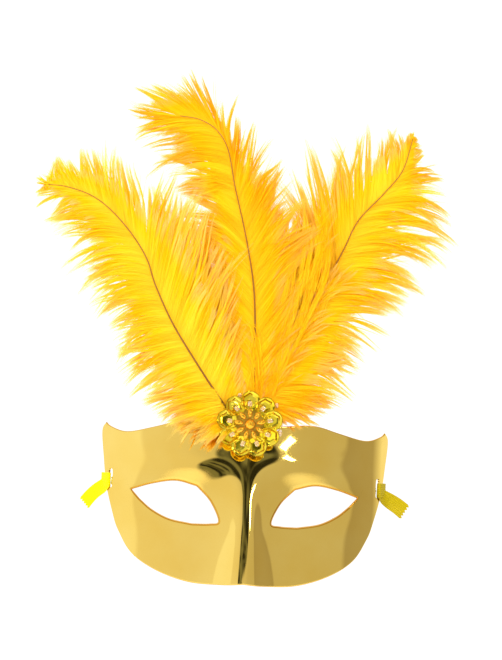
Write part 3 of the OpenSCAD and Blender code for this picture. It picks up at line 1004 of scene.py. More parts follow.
    @staticmethod
    def weld(mesh: bpy.types.Mesh) -> None:
        """Merge the halves' shared points, drop what is unused and turn the faces outwards."""
        work = bmesh.new()
        work.from_mesh(mesh)
        bmesh.ops.remove_doubles(work, verts=work.verts, dist=0.002 * MM)
        loose = [v for v in work.verts if not v.link_faces]
        bmesh.ops.delete(work, geom=loose, context="VERTS")
        bmesh.ops.recalc_face_normals(work, faces=work.faces)
        work.to_mesh(mesh)
        work.free()

    @staticmethod
    def cut(piece: bpy.types.Object, shape: Surface) -> None:
        """Take a closed shape out of the piece and keep the result as its mesh."""
        mesh = bpy.data.meshes.new("cutter")
        mesh.from_pydata((shape.points * MM).tolist(), [], shape.faces.tolist())
        MaskShell.weld(mesh)
        tool = bpy.data.objects.new("cutter", mesh)
        bpy.context.scene.collection.objects.link(tool)
        modifier = piece.modifiers.new("slot", "BOOLEAN")
        modifier.operation, modifier.solver, modifier.object = "DIFFERENCE", "EXACT", tool
        graph = bpy.context.evaluated_depsgraph_get()
        made = bpy.data.meshes.new_from_object(piece.evaluated_get(graph), depsgraph=graph)
        piece.modifiers.clear()
        old, piece.data = piece.data, made
        bpy.data.meshes.remove(old)
        bpy.data.objects.remove(tool)
        made.name = piece.name


# ---------------------------------------------------------------- the flower


@dataclass
class Flower:
    """Nine cup sequins, nine oval beads and nine clear beads on brass wires round a faceted bead.

    Attributes:
        z: Height of its centre.
        ring: Distance of the sequins' middles from the centre.
        first_deg: Direction of the first wire, anticlockwise from +X.
        twist_deg: A sequin's mean tilt about its wire.
        film: The sequins' thickness.
        cup: Depth of a sequin's cup.
        cup_off: How far the flat of a cup stands in front of the backing.
        wire_off: How far the wires' inner ends stand in front of that.
        wire_fall: How far a wire falls back on its way out to the sequins.
        inner_ring: Distance of the wires' inner ends from the centre.
        pad_z: Height at which the glue pad meets the shell.
    """

    shell: MaskShell
    petals: int = 9
    z: float = 46.0
    petal_d: float = 11.6
    ring: float = 13.2
    first_deg: float = 92.0
    twist_deg: float = 13.0
    film: float = 0.28
    cup: float = 1.62
    cup_off: float = 2.2
    wire_off: float = 3.3
    wire_fall: float = 1.4
    inner_ring: float = 3.4
    oval_at: float = 6.4
    clear_at: float = 11.55
    centre_d: float = 6.0
    oval_l: float = 5.2
    oval_d: float = 2.9
    pad_z: float = 31.0
    pad_gap: float = 0.1
    pad_t: float = 5.0
    backing_t: float = 1.0

    @property
    def petal_y(self) -> float:
        """Depth of the flat of a petal's cup."""
        pad_back = float(self.shell.front_y(np.array(0.0), np.array(self.pad_z))) - self.pad_gap
        return pad_back - self.pad_t - self.backing_t - self.cup_off

    def arm_y(self, distance: np.ndarray) -> np.ndarray:
        """Give a wire's depth at a distance from the flower's centre."""
        share = (distance - self.inner_ring) / (self.ring - self.inner_ring)
        return self.petal_y - self.wire_off + self.wire_fall * share

    def angle(self, i: int) -> float:
        """Give the direction of wire i, in radians anticlockwise from +X."""
        return math.radians(self.first_deg - 360 / self.petals * i)

    def on_arm(self, points: np.ndarray, i: int) -> np.ndarray:
        """Turn points from a wire's frame, whose +X runs out along it, to the flower's place."""
        a = self.angle(i)
        x = points[..., 0] * math.cos(a) - points[..., 2] * math.sin(a)
        z = self.z + points[..., 0] * math.sin(a) + points[..., 2] * math.cos(a)
        return np.stack([x, points[..., 1], z], axis=-1)

    def petal(self, i: int) -> Surface:
        """Work out a cup sequin.

        A six-sided flat round the hole rises in facets to a round rim, so its radius at each height is a mix
        of a hexagon's and a circle's. The film has a front and a back and closes at the hole and the rim.
        """
        r, sides = self.petal_d / 2, 72
        turn = np.linspace(0, 2 * np.pi, sides, endpoint=False)
        facet = np.mod(turn + 0.35 * i, np.pi / 3) - np.pi / 6
        hexagon = math.cos(math.pi / 6) / np.cos(facet)
        # Radius as a share, height, and how six-sided the ring is
        section = [
            (0.11, 0.0, 0.0), (0.36, 0.0, 0.6), (0.64, 0.0, 1.0), (0.655, 0.03, 1.0), (0.74, 0.42, 0.9),
            (0.83, 0.86, 0.62), (0.87, 1.02, 0.3), (0.895, 1.1, 0.1), (0.925, 1.2, 0.0), (0.96, 1.42, 0.0),
            (0.985, 1.6, 0.0),
        ]
        front = [(share * r * (1 - six + six * hexagon), h + self.film) for share, h, six in section]
        rim_share = ((0.997, 0.9), (1.0, 0.5), (0.995, 0.1))
        rim = [(r * np.ones(sides) * share, self.cup + self.film * up) for share, up in rim_share]
        back = [(share * r * (1 - six + six * hexagon), h) for share, h, six in section[::-1]]
        radius, height = (np.array(v) for v in zip(*front + rim + back))
        flat = -np.broadcast_to(height[:, None], radius.shape)
        rows = np.stack([radius * np.cos(turn), flat, radius * np.sin(turn)], axis=-1)
        tilt = math.radians(self.twist_deg + 6 * math.sin(2.4 * i))
        y = rows[..., 1] * math.cos(tilt) - rows[..., 2] * math.sin(tilt)
        z = rows[..., 1] * math.sin(tilt) + rows[..., 2] * math.cos(tilt)
        placed = np.stack([rows[..., 0] + self.ring, y + self.petal_y + 0.9, z], axis=-1)
        faces = grid_faces(len(rows), sides, wrap_rows=True, wrap_columns=True)
        return Surface(self.on_arm(placed, i).reshape(-1, 3), faces)

    def threaded(self, section: np.ndarray, i: int, distance: float, sides: int) -> Surface:
        """Spin a closed section, given as distance along and radius, round wire i."""
        turn = np.linspace(0, 2 * np.pi, sides, endpoint=False)
        slope = math.atan2(self.wire_fall, self.ring - self.inner_ring)
        run, radius = section[:, 0, None], section[:, 1, None]
        x = run * math.cos(slope) - radius * np.cos(turn) * math.sin(slope) + distance
        wire_y = float(self.arm_y(np.array(distance)))
        y = run * math.sin(slope) + radius * np.cos(turn) * math.cos(slope) + wire_y
        rows = np.stack([x, y, radius * np.sin(turn)], axis=-1)
        faces = grid_faces(len(section), sides, wrap_rows=True, wrap_columns=True)
        return Surface(self.on_arm(rows, i).reshape(-1, 3), faces)

    def oval_section(self) -> np.ndarray:
        """Give the oval bead's section: half an ellipse outside and a straight bore."""
        a = np.radians(np.linspace(-78, 78, 15))
        outside = np.stack([self.oval_l / 2 * np.sin(a), self.oval_d / 2 * np.cos(a)], axis=-1)
        return np.vstack([outside, [(2.55, 0.3), (0, 0.3), (-2.55, 0.3)]])

    def clear_section(self) -> np.ndarray:
        """Give the clear bead's section: a tube with rounded ends and a wide bore."""
        a = np.radians(np.linspace(0, 180, 9))
        right = np.stack([1.1 + 0.35 * np.sin(a), 0.88 + 0.37 * np.cos(a)], axis=-1)
        left = np.stack([-1.1 - 0.35 * np.sin(a[::-1]), 0.88 + 0.37 * np.cos(a[::-1])], axis=-1)
        return np.vstack([left, right])

    def centre_bead(self) -> Surface:
        """Work out the faceted bead: rings of eight flats, each ring turned by half a flat from the last."""
        flats, r = 8, self.centre_d / 2
        lat = np.radians([-84, -58, -32, -10, 14, 38, 62, 84])[:, None]
        rings = len(lat)
        turn = np.linspace(0, 2 * np.pi, flats, endpoint=False)
        turn = turn + (np.arange(rings)[:, None] % 2) * math.pi / flats
        deep = np.broadcast_to(-np.sin(lat), turn.shape)
        rows = r * np.stack([np.cos(lat) * np.cos(turn), deep, np.cos(lat) * np.sin(turn)], axis=-1)
        quads = grid_faces(rings, flats, wrap_columns=True)
        odd = (quads[:, 0] // flats) % 2 == 1
        split_a = np.vstack([quads[~odd][:, [0, 1, 3]], quads[~odd][:, [1, 2, 3]]])
        split_b = np.vstack([quads[odd][:, [0, 1, 2]], quads[odd][:, [0, 2, 3]]])
        i, after = np.arange(flats), (np.arange(flats) + 1) % flats
        count, last = rings * flats, (rings - 1) * flats
        hubs = np.array([[0, 0.99 * r, 0], [0, -0.99 * r, 0]])
        low = np.stack([np.full(flats, count), i, after], axis=-1)
        high = np.stack([np.full(flats, count + 1), last + after, last + i], axis=-1)
        points = np.vstack([rows.reshape(-1, 3), hubs]) + (0, self.petal_y - 3.7, self.z)
        return Surface(points, np.vstack([split_a, split_b, low, high]))

    def glue_drips(self) -> Surface:
        """Work out three squeezed-out drips of glue at the flower's rim: balls flattened and waved."""
        rows, sides = 16, 28
        round_turn = np.linspace(0, 2 * np.pi, sides, endpoint=False)
        u, v = np.meshgrid(round_turn, np.linspace(0.02, np.pi - 0.02, rows))
        whole = None
        for x, z, r, phase in ((17.0, 41.5, 1.7, 0.3), (15.0, 57.2, 1.1, 1.9), (-6.2, 62.0, 1.1, 3.1)):
            wave = 1 + 0.14 * np.sin(3 * u + phase) * np.sin(2 * v) + 0.1 * np.cos(5 * v + phase)
            ball = np.stack([np.sin(v) * np.cos(u), 1.25 * np.cos(v), 1.3 * np.sin(v) * np.sin(u)], axis=-1)
            points = (r * wave[..., None] * ball + (x, self.petal_y + 3.2, z)).reshape(-1, 3)
            part = Surface(points, grid_faces(rows, sides, wrap_columns=True))
            whole = part if whole is None else whole.joined(part)
        return whole

    def build(self) -> None:
        """Make every sequin and bead, and dress the nodes that hold them."""
        film, lustre, glass = SEQUIN_FILM.material(), LUSTRE_BEAD.material(), CLEAR_BEAD.material()
        for i in range(self.petals):
            n = i + 1
            cup = self.petal(i)
            make_piece(f"sequin_{n}", cup, [film], "mask", (f"petal_{n}",), crease=22)
            oval = self.threaded(self.oval_section(), i, self.oval_at, 28)
            replaces = (f"oval_bead_{n}",)
            make_piece(f"oval_gold_bead_{n}", oval, [lustre], "mask", replaces, crease=60)
            tube = self.threaded(self.clear_section(), i, self.clear_at, 24)
            make_piece(f"clear_tube_bead_{n}", tube, [glass], "mask", (f"clear_bead_{n}",))
        bead = self.centre_bead()
        make_piece("faceted_bead", bead, [lustre], "mask", ("centre_bead",), smooth=False)
        make_piece("glue_drips", self.glue_drips(), [HOT_GLUE.material()], "mask")
        dress_node("flower_wires", BRASS_WIRE.material())
        dress_node("flower_backing", FELTED_CARD.material())
        dress_node("glue_pad", HOT_GLUE.material())


# ---------------------------------------------------------------- the plumes


@dataclass(frozen=True)
class Growth:
    """How one layer of barbs grows. Lengths are in millimetres and shares are of a barb's own way.

    Attributes:
        count: How many barbs.
        width: A barb's width.
        per_tuft: How many of them a tuft has, on average.
        per_wisp: How many of them a wisp has.
        reach: A wisp's length, as the least and the most of the way to the outline.
        scatter: How far a wisp's end swings to a side, for a barb of 50 mm.
        curl: How far its end curls, likewise.
        bow: How far the middle of a way is moved along the shaft, as a share of its length.
        depth: The least and the most that a wisp's end stands behind its root.
        gather_tuft: How far a barb closes up on its tuft, from 0 to 1.
        gather_wisp: How far a tuft closes up on its wisp.
        trim: Where a barb ends on its way, the least and the most.
        twist: Spread of a barb's turn about itself, in radians.
        droop: The mean curl towards the foot. In a Layer it is a share of the plume's own.
        steps: How many faces a barb has.
    """

    count: int
    width: float
    per_tuft: int
    per_wisp: int
    reach: tuple[float, float]
    scatter: float
    curl: float
    bow: float
    depth: tuple[float, float]
    gather_tuft: float = 0.9
    gather_wisp: float = 0.6
    trim: tuple[float, float] = (0.75, 1.0)
    twist: float = 0.8
    droop: float = 0.0
    steps: int = 8


class Layer(Enum):
    """The layers of a vane: the combed web by the shaft, a bed behind it, the wisps and the loose hairs."""

    WEB = Growth(
        count=2700, width=0.5, per_tuft=30, per_wisp=300, reach=(0.5, 0.72), scatter=1.0, curl=1.0, bow=0.24,
        depth=(0.4, 1.6), gather_tuft=0.35, gather_wisp=0.1, trim=(0.85, 1.0), twist=0.3,
    )
    BED = Growth(
        count=2000, width=0.5, per_tuft=30, per_wisp=90, reach=(0.62, 0.95), scatter=3.0, curl=3.0, bow=0.24,
        depth=(3.0, 6.0), gather_tuft=0.6, gather_wisp=0.3, trim=(0.85, 1.0), twist=0.6, droop=1.0,
    )
    WISPS = Growth(
        count=5800, width=0.3, per_tuft=20, per_wisp=130, reach=(0.8, 1.06), scatter=5.0, curl=5.5, bow=0.26,
        depth=(0.6, 5.0), gather_tuft=0.88, gather_wisp=0.72, trim=(0.72, 1.0), droop=1.0, steps=9,
    )
    HAIRS = Growth(
        count=2100, width=0.2, per_tuft=5, per_wisp=30, reach=(0.5, 1.1), scatter=6.0, curl=7.0, bow=0.26,
        depth=(-1.6, 5.5), gather_tuft=0.7, gather_wisp=0.35, trim=(0.6, 1.0), twist=1.2, droop=1.0,
    )


def in_groups(rng: np.random.Generator, count: int, size: float) -> tuple[np.ndarray, np.ndarray]:
    """Cut a row of things into neighbouring groups of about the same size.

    Returns:
        Each thing's group, and the number of the thing in the middle of each group.
    """
    starts = rng.random(count) < 1 / size
    starts[0] = True
    group = np.cumsum(starts) - 1
    first = np.flatnonzero(starts)
    return group, first + np.bincount(group) // 2


def barbs(rng: np.random.Generator, root: np.ndarray, way: np.ndarray, end: np.ndarray, g: Growth) -> Surface:
    """Grow a row of barbs, each a thin tapered strip, drawn together into tufts and the tufts into wisps.

    A way is the quadratic curve from a root to an end whose middle point is moved along the shaft by bow
    times the distance, plus a curl that grows as the share along it to the power of 2.5. Each tuft and each
    wisp has the way of its middle barb, with its own length, swing and depth. A barb closes up on its tuft's
    way, and that on its wisp's, by gather times an ease of the share along it.

    Args:
        rng: Source of every random draw.
        root: Where each barb leaves the shaft, in order along it.
        way: The shaft's direction there.
        end: Where each barb would end on the plume's outline.
        g: How the layer grows.

    Returns:
        The strips, with the values "reach" (share of the way out) and "tone" (0 deep to 1 bright), and a map
        that gives each strip a cell of its own.
    """
    n, k = len(root), g.steps + 1
    tuft, mid_barb = in_groups(rng, n, g.per_tuft)
    wisp_of_tuft, mid_tuft = in_groups(rng, len(mid_barb), g.per_wisp / g.per_tuft)
    wisp, lead = wisp_of_tuft[tuft], mid_barb[mid_tuft]
    tufts, wisps = len(mid_barb), len(lead)
    deep = np.array([0.0, 1.0, 0.0])
    side = unit(np.cross(end - root, deep))
    side = side * np.sign((side * way).sum(-1, keepdims=True))
    wisp_reach = rng.uniform(*g.reach, wisps)
    tuft_reach = wisp_reach[wisp_of_tuft] * rng.uniform(0.86, 1.06, tufts)
    size = np.linalg.norm(end - root, axis=-1, keepdims=True) / 50
    side = side * size
    wisp_shift = side[lead] * rng.normal(0, g.scatter, (wisps, 1)) + deep * rng.uniform(*g.depth, (wisps, 1))
    tuft_shift = wisp_shift[wisp_of_tuft] + side[mid_barb] * rng.normal(0, 0.5 * g.scatter, (tufts, 1))
    tuft_shift = tuft_shift + deep * rng.normal(0, 0.9, (tufts, 1))
    wisp_curl = side[lead] * rng.normal(-g.droop, g.curl, (wisps, 1)) + deep * rng.normal(0, 1.0, (wisps, 1))
    tuft_curl = wisp_curl[wisp_of_tuft] + side[mid_barb] * rng.normal(0, 0.4 * g.curl, (tufts, 1))
    t = np.linspace(0, 1, k) * rng.uniform(*g.trim, (n, 1))
    s = t[..., None]

    def follow(first: np.ndarray, stop: np.ndarray, curl: np.ndarray, tangent: np.ndarray) -> np.ndarray:
        """Give the ways' points at t."""
        far = np.linalg.norm(stop - first, axis=-1, keepdims=True)
        middle = (first + stop) / 2 + tangent * far * g.bow
        line = (1 - s) ** 2 * first[:, None] + 2 * s * (1 - s) * middle[:, None] + s**2 * stop[:, None]
        return line + curl[:, None] * s**2.5

    reach = (end - root) * (tuft_reach[tuft] * rng.uniform(0.93, 1.05, n))[:, None]
    own_curl = tuft_curl[tuft] * rng.uniform(0.4, 1, (n, 1))
    own = follow(root, root + reach + 0.5 * tuft_shift[tuft], own_curl, way)
    tuft_end = root[mid_barb] + (end - root)[mid_barb] * tuft_reach[:, None] + tuft_shift
    led = follow(root[mid_barb][tuft], tuft_end[tuft], tuft_curl[tuft], way[mid_barb][tuft])
    wisp_end = root[lead] + (end - root)[lead] * wisp_reach[:, None] + wisp_shift
    far_led = follow(root[lead][wisp], wisp_end[wisp], wisp_curl[wisp], way[lead][wisp])
    close = smooth_step((s - 0.2) / 0.8)
    led = led + g.gather_wisp * close * (far_led - led)
    line = own + g.gather_tuft * smooth_step((s - 0.12) / 0.8) * (led - own)
    wave = rng.uniform(0, 2 * np.pi, (n, 1)) + t * rng.uniform(4, 11, (n, 1))
    line = line + unit(side)[:, None] * (np.sin(wave) * t * rng.uniform(0.1, 0.6, (n, 1)))[..., None]
    line[..., 1] += rng.normal(0, 0.4, (n, 1)) * t
    run = unit(np.gradient(line, axis=1))
    flat = unit(np.cross(run, -deep))
    turn = (rng.normal(0, g.twist, (n, 1)) + rng.normal(0, 0.5, (n, 1)) * t)[..., None]
    across = flat * np.cos(turn) + np.cross(run, flat) * np.sin(turn)
    u = np.linspace(0, 1, k)
    taper = (0.6 + 0.4 * np.sin(np.pi * np.minimum(u * 1.5, 1))) * (1 - u**3.5) + 0.05
    half = (0.5 * g.width * rng.uniform(0.7, 1.3, (n, 1)) * taper)[..., None]
    points = np.stack([line - across * half, line + across * half], axis=2)
    faces = (grid_faces(k, 2)[None] + (np.arange(n) * k * 2)[:, None, None]).reshape(-1, 4)
    tone = rng.normal(0.5, 0.16, wisps)[wisp] + rng.normal(0, 0.14, tufts)[tuft] + rng.normal(0, 0.12, n)
    cells = math.ceil(math.sqrt(n))
    number = np.arange(n)[:, None, None]
    across_cell = (number % cells + 0.1 + 0.8 * np.arange(2)[None, None]) / cells
    along_cell = (number // cells + 0.1 + 0.8 * u[None, :, None]) / cells
    uv = np.stack(np.broadcast_arrays(across_cell, along_cell), axis=-1)
    values = {"reach": np.repeat(t.ravel(), 2), "tone": np.repeat(np.clip(tone, 0, 1), k * 2)}
    return Surface(points.reshape(-1, 3), faces, values, uv.reshape(-1, 2))


@dataclass
class Plume:
    """An ostrich plume: a shaft with a vane of barbs on both sides.

    Each vane's outline is a list of shares of the shaft's length with the X and Z that a barb from there
    reaches for. Droop and arch are given for the left vane and the right one. Down covers the shaft up to
    the share "covered" of its length.
    """

    name: str
    route: Points
    left: Points
    right: Points
    dye: DyedOstrich
    seed: int
    droop: tuple[float, float] = (3.0, -3.0)
    arch: tuple[float, float] = (1.0, 0.15)
    covered: float = 0.0
    covering: int = 0
    quill_d: float = 1.3
    start: float = 0.03

    def shaft(self) -> Surface:
        """Work out the shaft: a tube along the route that thins to a third at its tip."""
        rings, sides = 160, 12
        s = np.linspace(0, 1, rings)
        line = by_length(self.route, s)
        run = unit(np.gradient(line, axis=0))
        u = unit(np.cross(run, (0, 1, 0)))
        v = np.cross(u, run)
        turn = np.linspace(0, 2 * np.pi, sides, endpoint=False)
        r = (self.quill_d / 2 * (1 - 0.66 * s**0.8))[:, None, None]
        rows = line[:, None] + r * (np.cos(turn)[:, None] * u[:, None] + np.sin(turn)[:, None] * v[:, None])
        points = np.vstack([rows.reshape(-1, 3), line[0], line[-1] + 0.3 * run[-1]])
        walls = grid_faces(rings, sides, wrap_columns=True)
        i, after = np.arange(sides), (np.arange(sides) + 1) % sides
        count, last = rings * sides, (rings - 1) * sides
        tris = np.vstack([walls[:, [0, 1, 2]], walls[:, [0, 2, 3]]])
        low = np.stack([np.full(sides, count), after, i], axis=-1)
        high = np.stack([np.full(sides, count + 1), last + i, last + after], axis=-1)
        reach = np.concatenate([np.repeat(s, sides), [0, 1]])
        return Surface(points, np.vstack([tris, low, high]), {"reach": reach})

    def roots(self, rng: np.random.Generator, count: int, top: float) -> tuple[np.ndarray, ...]:
        """Pick places along the shaft in order.

        Returns:
            Their shares of the shaft's length, their points and the shaft's directions there.
        """
        s = np.sort(rng.uniform(self.start, top, count))
        way = unit(by_length(self.route, s + 0.004) - by_length(self.route, s - 0.004))
        return s, by_length(self.route, s), way

    def grow(
        self, rng: np.random.Generator, outline: Points, growth: Growth, arch: float, top: float
    ) -> Surface:
        """Grow one layer on one side, with its barbs arching out to the outline, less so near the foot."""
        s, root, way = self.roots(rng, growth.count, top)
        way = way * (arch * (0.35 + 0.65 * smooth_step((s - 0.1) / 0.5)))[:, None]
        root = root + (0, 0.4, 0)
        share, x, z = np.asarray(outline, float).T
        end = np.stack([np.interp(s, share, x), root[:, 1], np.interp(s, share, z)], axis=-1)
        return barbs(rng, root, way, end, growth)

    def cover(self, rng: np.random.Generator) -> Surface:
        """Grow down that lies in front of the shaft's foot and runs up along it, fanning out a little."""
        growth = Growth(
            count=self.covering, width=0.34, per_tuft=16, per_wisp=70, reach=(0.6, 1.1),
            scatter=9.0, curl=9.0, bow=0.2, depth=(-2.2, -0.4),
        )
        s, root, way = self.roots(rng, growth.count, self.covered)
        root = root + np.stack([rng.normal(0, 2.4, len(s)), rng.uniform(-1.6, -0.9, len(s)), 0 * s], axis=-1)
        end = by_length(self.route, s + 0.17) + (0, -1.2, 0)
        return barbs(rng, root, way, end + rng.normal(0, 1.5, (len(s), 3)) * (1, 0, 1), growth)

    def build(self) -> None:
        """Make the shaft and each side's layers."""
        horn = Keratin().material()
        make_piece(f"{self.name}_shaft", self.shaft(), [horn], "mask", (f"{self.name}_quill",))
        rng = np.random.default_rng(self.seed)
        outlines = (self.left, self.right)
        for key, outline, droop, arch in zip(("left", "right"), outlines, self.droop, self.arch):
            for layer in Layer:
                growth = replace(layer.value, droop=droop * layer.value.droop)
                grown = self.grow(rng, outline, growth, arch, 0.6 if layer is Layer.BED else 1.0)
                replaces = (f"{self.name}_vane",) if key == "left" and layer is Layer.WEB else ()
                name = f"{self.name}_plume_{key}_{layer.name.lower()}"
                make_piece(name, grown, [self.dye.material()], "mask", replaces)
        if self.covering:
            make_piece(f"{self.name}_plume_cover", self.cover(rng), [self.dye.material()], "mask")


@dataclass
class Filling:
    """The soft mass between the shafts: rows of down that stand up like flames and close the gaps."""

    left: Points
    right: Points
    dye: DyedOstrich
    seed: int
    columns: int = 27
    per_column: int = 330
    length: tuple[float, float] = (20.0, 34.0)

    def build(self) -> None:
        """Grow columns of down side by side, each pointing the way its place between the two edges does."""
        rng = np.random.default_rng(self.seed)
        growth = Growth(
            count=self.columns * self.per_column, width=0.3, per_tuft=14, per_wisp=46, reach=(0.75, 1.1),
            scatter=8.0, curl=9.0, bow=0.05, depth=(0.5, 4.0),
        )
        u = np.repeat((np.arange(self.columns) + 0.5) / self.columns, self.per_column)
        u = (u + rng.normal(0, 0.25 / self.columns, len(u)))[:, None]
        s = np.sort(rng.uniform(0, 1, (self.columns, self.per_column)), axis=1).ravel()
        root = by_length(self.left, s) * (1 - u) + by_length(self.right, s) * u
        ahead = by_length(self.left, s + 0.02) * (1 - u) + by_length(self.right, s + 0.02) * u
        back = by_length(self.left, s - 0.02) * (1 - u) + by_length(self.right, s - 0.02) * u
        way = unit(ahead - back)
        end = root + way * rng.uniform(*self.length, (len(s), 1))
        grown = barbs(rng, root, way, end, growth)
        make_piece("centre_plume_filling", grown, [self.dye.material()], "mask")


@dataclass
class Tuft:
    """Loose down at the plumes' roots, which hangs in front of the shell's upper edge."""

    name: str
    roots: Points
    ends: Points
    dye: DyedOstrich
    slot: str
    seed: int
    sag: float = 0.12

    def build(self) -> None:
        """Grow the tuft from its line of roots to its line of ends, in two layers."""
        rng = np.random.default_rng(self.seed)
        layers = (
            Growth(
                count=4200, width=0.32, per_tuft=26, per_wisp=150, reach=(0.72, 1.06), scatter=3.0, curl=4.0,
                bow=self.sag, depth=(-2.5, 1.5), trim=(0.7, 1.0), steps=9,
            ),
            Growth(
                count=1100, width=0.2, per_tuft=6, per_wisp=40, reach=(0.5, 1.1), scatter=4.0, curl=6.0,
                bow=self.sag, depth=(-3.0, 2.0), gather_tuft=0.6, gather_wisp=0.3, trim=(0.6, 1.0), twist=1.2,
            ),
        )
        grown = None
        for growth in layers:
            s = np.sort(rng.uniform(0, 1, growth.count))
            root = by_length(self.roots, s) + rng.normal(0, 0.8, (growth.count, 3))
            end = by_length(self.ends, s)
            way = np.broadcast_to([0.0, 0.0, 1.0], root.shape)
            part = barbs(rng, root, way, end, growth)
            if grown is not None:
                part.flat_uv = part.flat_uv * (0.5, 1) + (0.5, 0)
                grown.flat_uv = grown.flat_uv * (0.5, 1)
            grown = part if grown is None else grown.joined(part)
        replaces = (f"{self.name}_base_fluff",)
        make_piece(f"{self.name}_down", grown, [self.dye.material()], "mask", replaces)


def plumes() -> list[Plume]:
    """Give the three plumes from the front one to the one at the back."""
    return [
        Plume(
            name="left",
            route=[
                (-4, 2.8, 43.9), (-9, 2.8, 49.9), (-16, 2.2, 58), (-29.5, -2, 76.5), (-46, -7, 101),
                (-57, -11, 122.5), (-62.5, -13, 137), (-71, -14.5, 150), (-83, -15.5, 163),
                (-95, -16, 171.5), (-109, -16, 176), (-120, -16, 177),
            ],
            left=[
                (0.03, -34, 38), (0.12, -52, 44), (0.20, -66, 56), (0.30, -78, 71), (0.39, -85, 88),
                (0.45, -90, 101), (0.52, -99, 115), (0.60, -108, 131), (0.69, -117, 146), (0.78, -124, 157),
                (0.86, -126, 165), (0.94, -127, 172), (1.0, -127, 178),
            ],
            right=[
                (0.03, 0, 76), (0.10, -2, 96), (0.17, -4, 115), (0.24, -8, 134), (0.31, -16, 152),
                (0.39, -27, 167), (0.45, -36, 178), (0.52, -47, 184), (0.60, -61, 190), (0.69, -79, 198),
                (0.78, -92, 203), (0.86, -106, 200), (0.94, -119, 191), (1.0, -128, 180),
            ],
            dye=Plumage.LEFT.value,
            seed=11,
        ),
        Plume(
            name="centre",
            route=[
                (0.9, 4.1, 44.5), (1.2, 4.1, 50), (1.8, 4.1, 61), (2, 3.5, 77), (0.8, 1.5, 105),
                (-1.3, -0.5, 127), (-7, -3, 154), (-14, -5.5, 180), (-19, -8, 201), (-26, -9.5, 212),
                (-36, -11, 217.5), (-47, -12, 219),
            ],
            left=[
                (0.03, -14, 74), (0.10, -22, 90), (0.17, -27, 105), (0.24, -31, 120), (0.31, -34, 134),
                (0.42, -38, 153), (0.50, -40, 166), (0.57, -43, 176), (0.64, -51, 182), (0.70, -60, 186),
                (0.76, -66, 191), (0.82, -71, 197), (0.88, -75, 204), (0.94, -77, 212), (1.0, -77, 222),
            ],
            right=[
                (0.03, 16, 74), (0.10, 23, 92), (0.17, 27, 110), (0.24, 29, 128), (0.31, 29, 146),
                (0.42, 27, 168), (0.50, 23, 184), (0.57, 16, 199), (0.64, 6, 211), (0.70, -8, 221),
                (0.76, -23, 233), (0.82, -39, 242), (0.88, -54, 247), (0.94, -67, 242), (1.0, -77, 230),
            ],
            dye=Plumage.CENTRE.value,
            seed=23,
            droop=(1.0, -2.0),
            arch=(0.9, 0.3),
            covered=0.24,
            covering=110,
        ),
        Plume(
            name="right",
            route=[
                (3.4, 5.3, 45.5), (5.4, 5.5, 50.5), (9, 6.2, 60), (14.5, 8, 74), (27.5, 10.5, 100.5),
                (40, 12, 126), (50, 12, 147), (58, 12, 164.5), (71.5, 12, 180), (82, 11, 194), (87, 9, 212.5),
            ],
            left=[
                (0.03, 2, 78), (0.10, 3, 99), (0.16, 5, 120), (0.24, 8, 142), (0.32, 12, 164),
                (0.40, 18, 186), (0.47, 26, 204), (0.53, 33, 213), (0.59, 41, 220), (0.65, 50, 218),
                (0.70, 56, 218), (0.75, 63, 219), (0.80, 70, 219), (0.85, 75, 219), (0.90, 80, 218),
                (0.95, 84, 217), (1.0, 87, 217),
            ],
            right=[
                (0.03, 42, 50), (0.10, 52, 58), (0.16, 60, 71), (0.24, 68, 84), (0.32, 76, 98),
                (0.40, 87, 112), (0.47, 99, 124), (0.53, 107, 136), (0.59, 114, 148), (0.65, 116, 158),
                (0.70, 115, 168), (0.75, 113, 177), (0.80, 109, 186), (0.85, 105, 193), (0.90, 99, 200),
                (0.95, 94, 208), (1.0, 89, 214),
            ],
            dye=Plumage.RIGHT.value,
            seed=37,
            droop=(-1.5, 3.5),
            arch=(0.3, 1.0),
            covered=0.4,
            covering=4200,
        ),
    ]


def filling() -> Filling:
    """Give the mass between the left shaft and the right one."""
    return Filling(
        left=[(-12, 5, 56), (-24, 4, 74), (-38, 2, 98), (-48, -1, 120), (-52, -2, 138), (-49, -2, 154)],
        right=[(10, 4.5, 56), (16, 5, 72), (28, 5.5, 98), (38, 5, 122), (42, 4, 140), (42, 4, 154)],
        dye=Plumage.CENTRE.value,
        seed=67,
    )


def tufts() -> list[Tuft]:
    """Give the loose down on both sides of the flower."""
    return [
        Tuft(
            name="left",
            roots=[(-8, 0.5, 44), (-13, 0.0, 50), (-17, -0.5, 56), (-22, -1.0, 64)],
            ends=[(-20, -3.5, 33), (-30, -3.0, 33), (-44, -2.5, 39), (-56, -2.0, 46), (-66, -1.5, 56)],
            dye=Plumage.LEFT.value,
            slot="plume_left",
            seed=51,
        ),
        Tuft(
            name="right",
            roots=[(9, 3.5, 50), (11, 3.5, 55), (14, 4.0, 60), (18, 4.5, 66)],
            ends=[(20, 0.5, 46), (32, 0.5, 46.5), (42, 0.5, 49), (50, 1.0, 54), (56, 2.0, 64)],
            dye=Plumage.CENTRE.value,
            slot="plume_centre",
            seed=53,
        ),
    ]


# ---------------------------------------------------------------- the ribbons


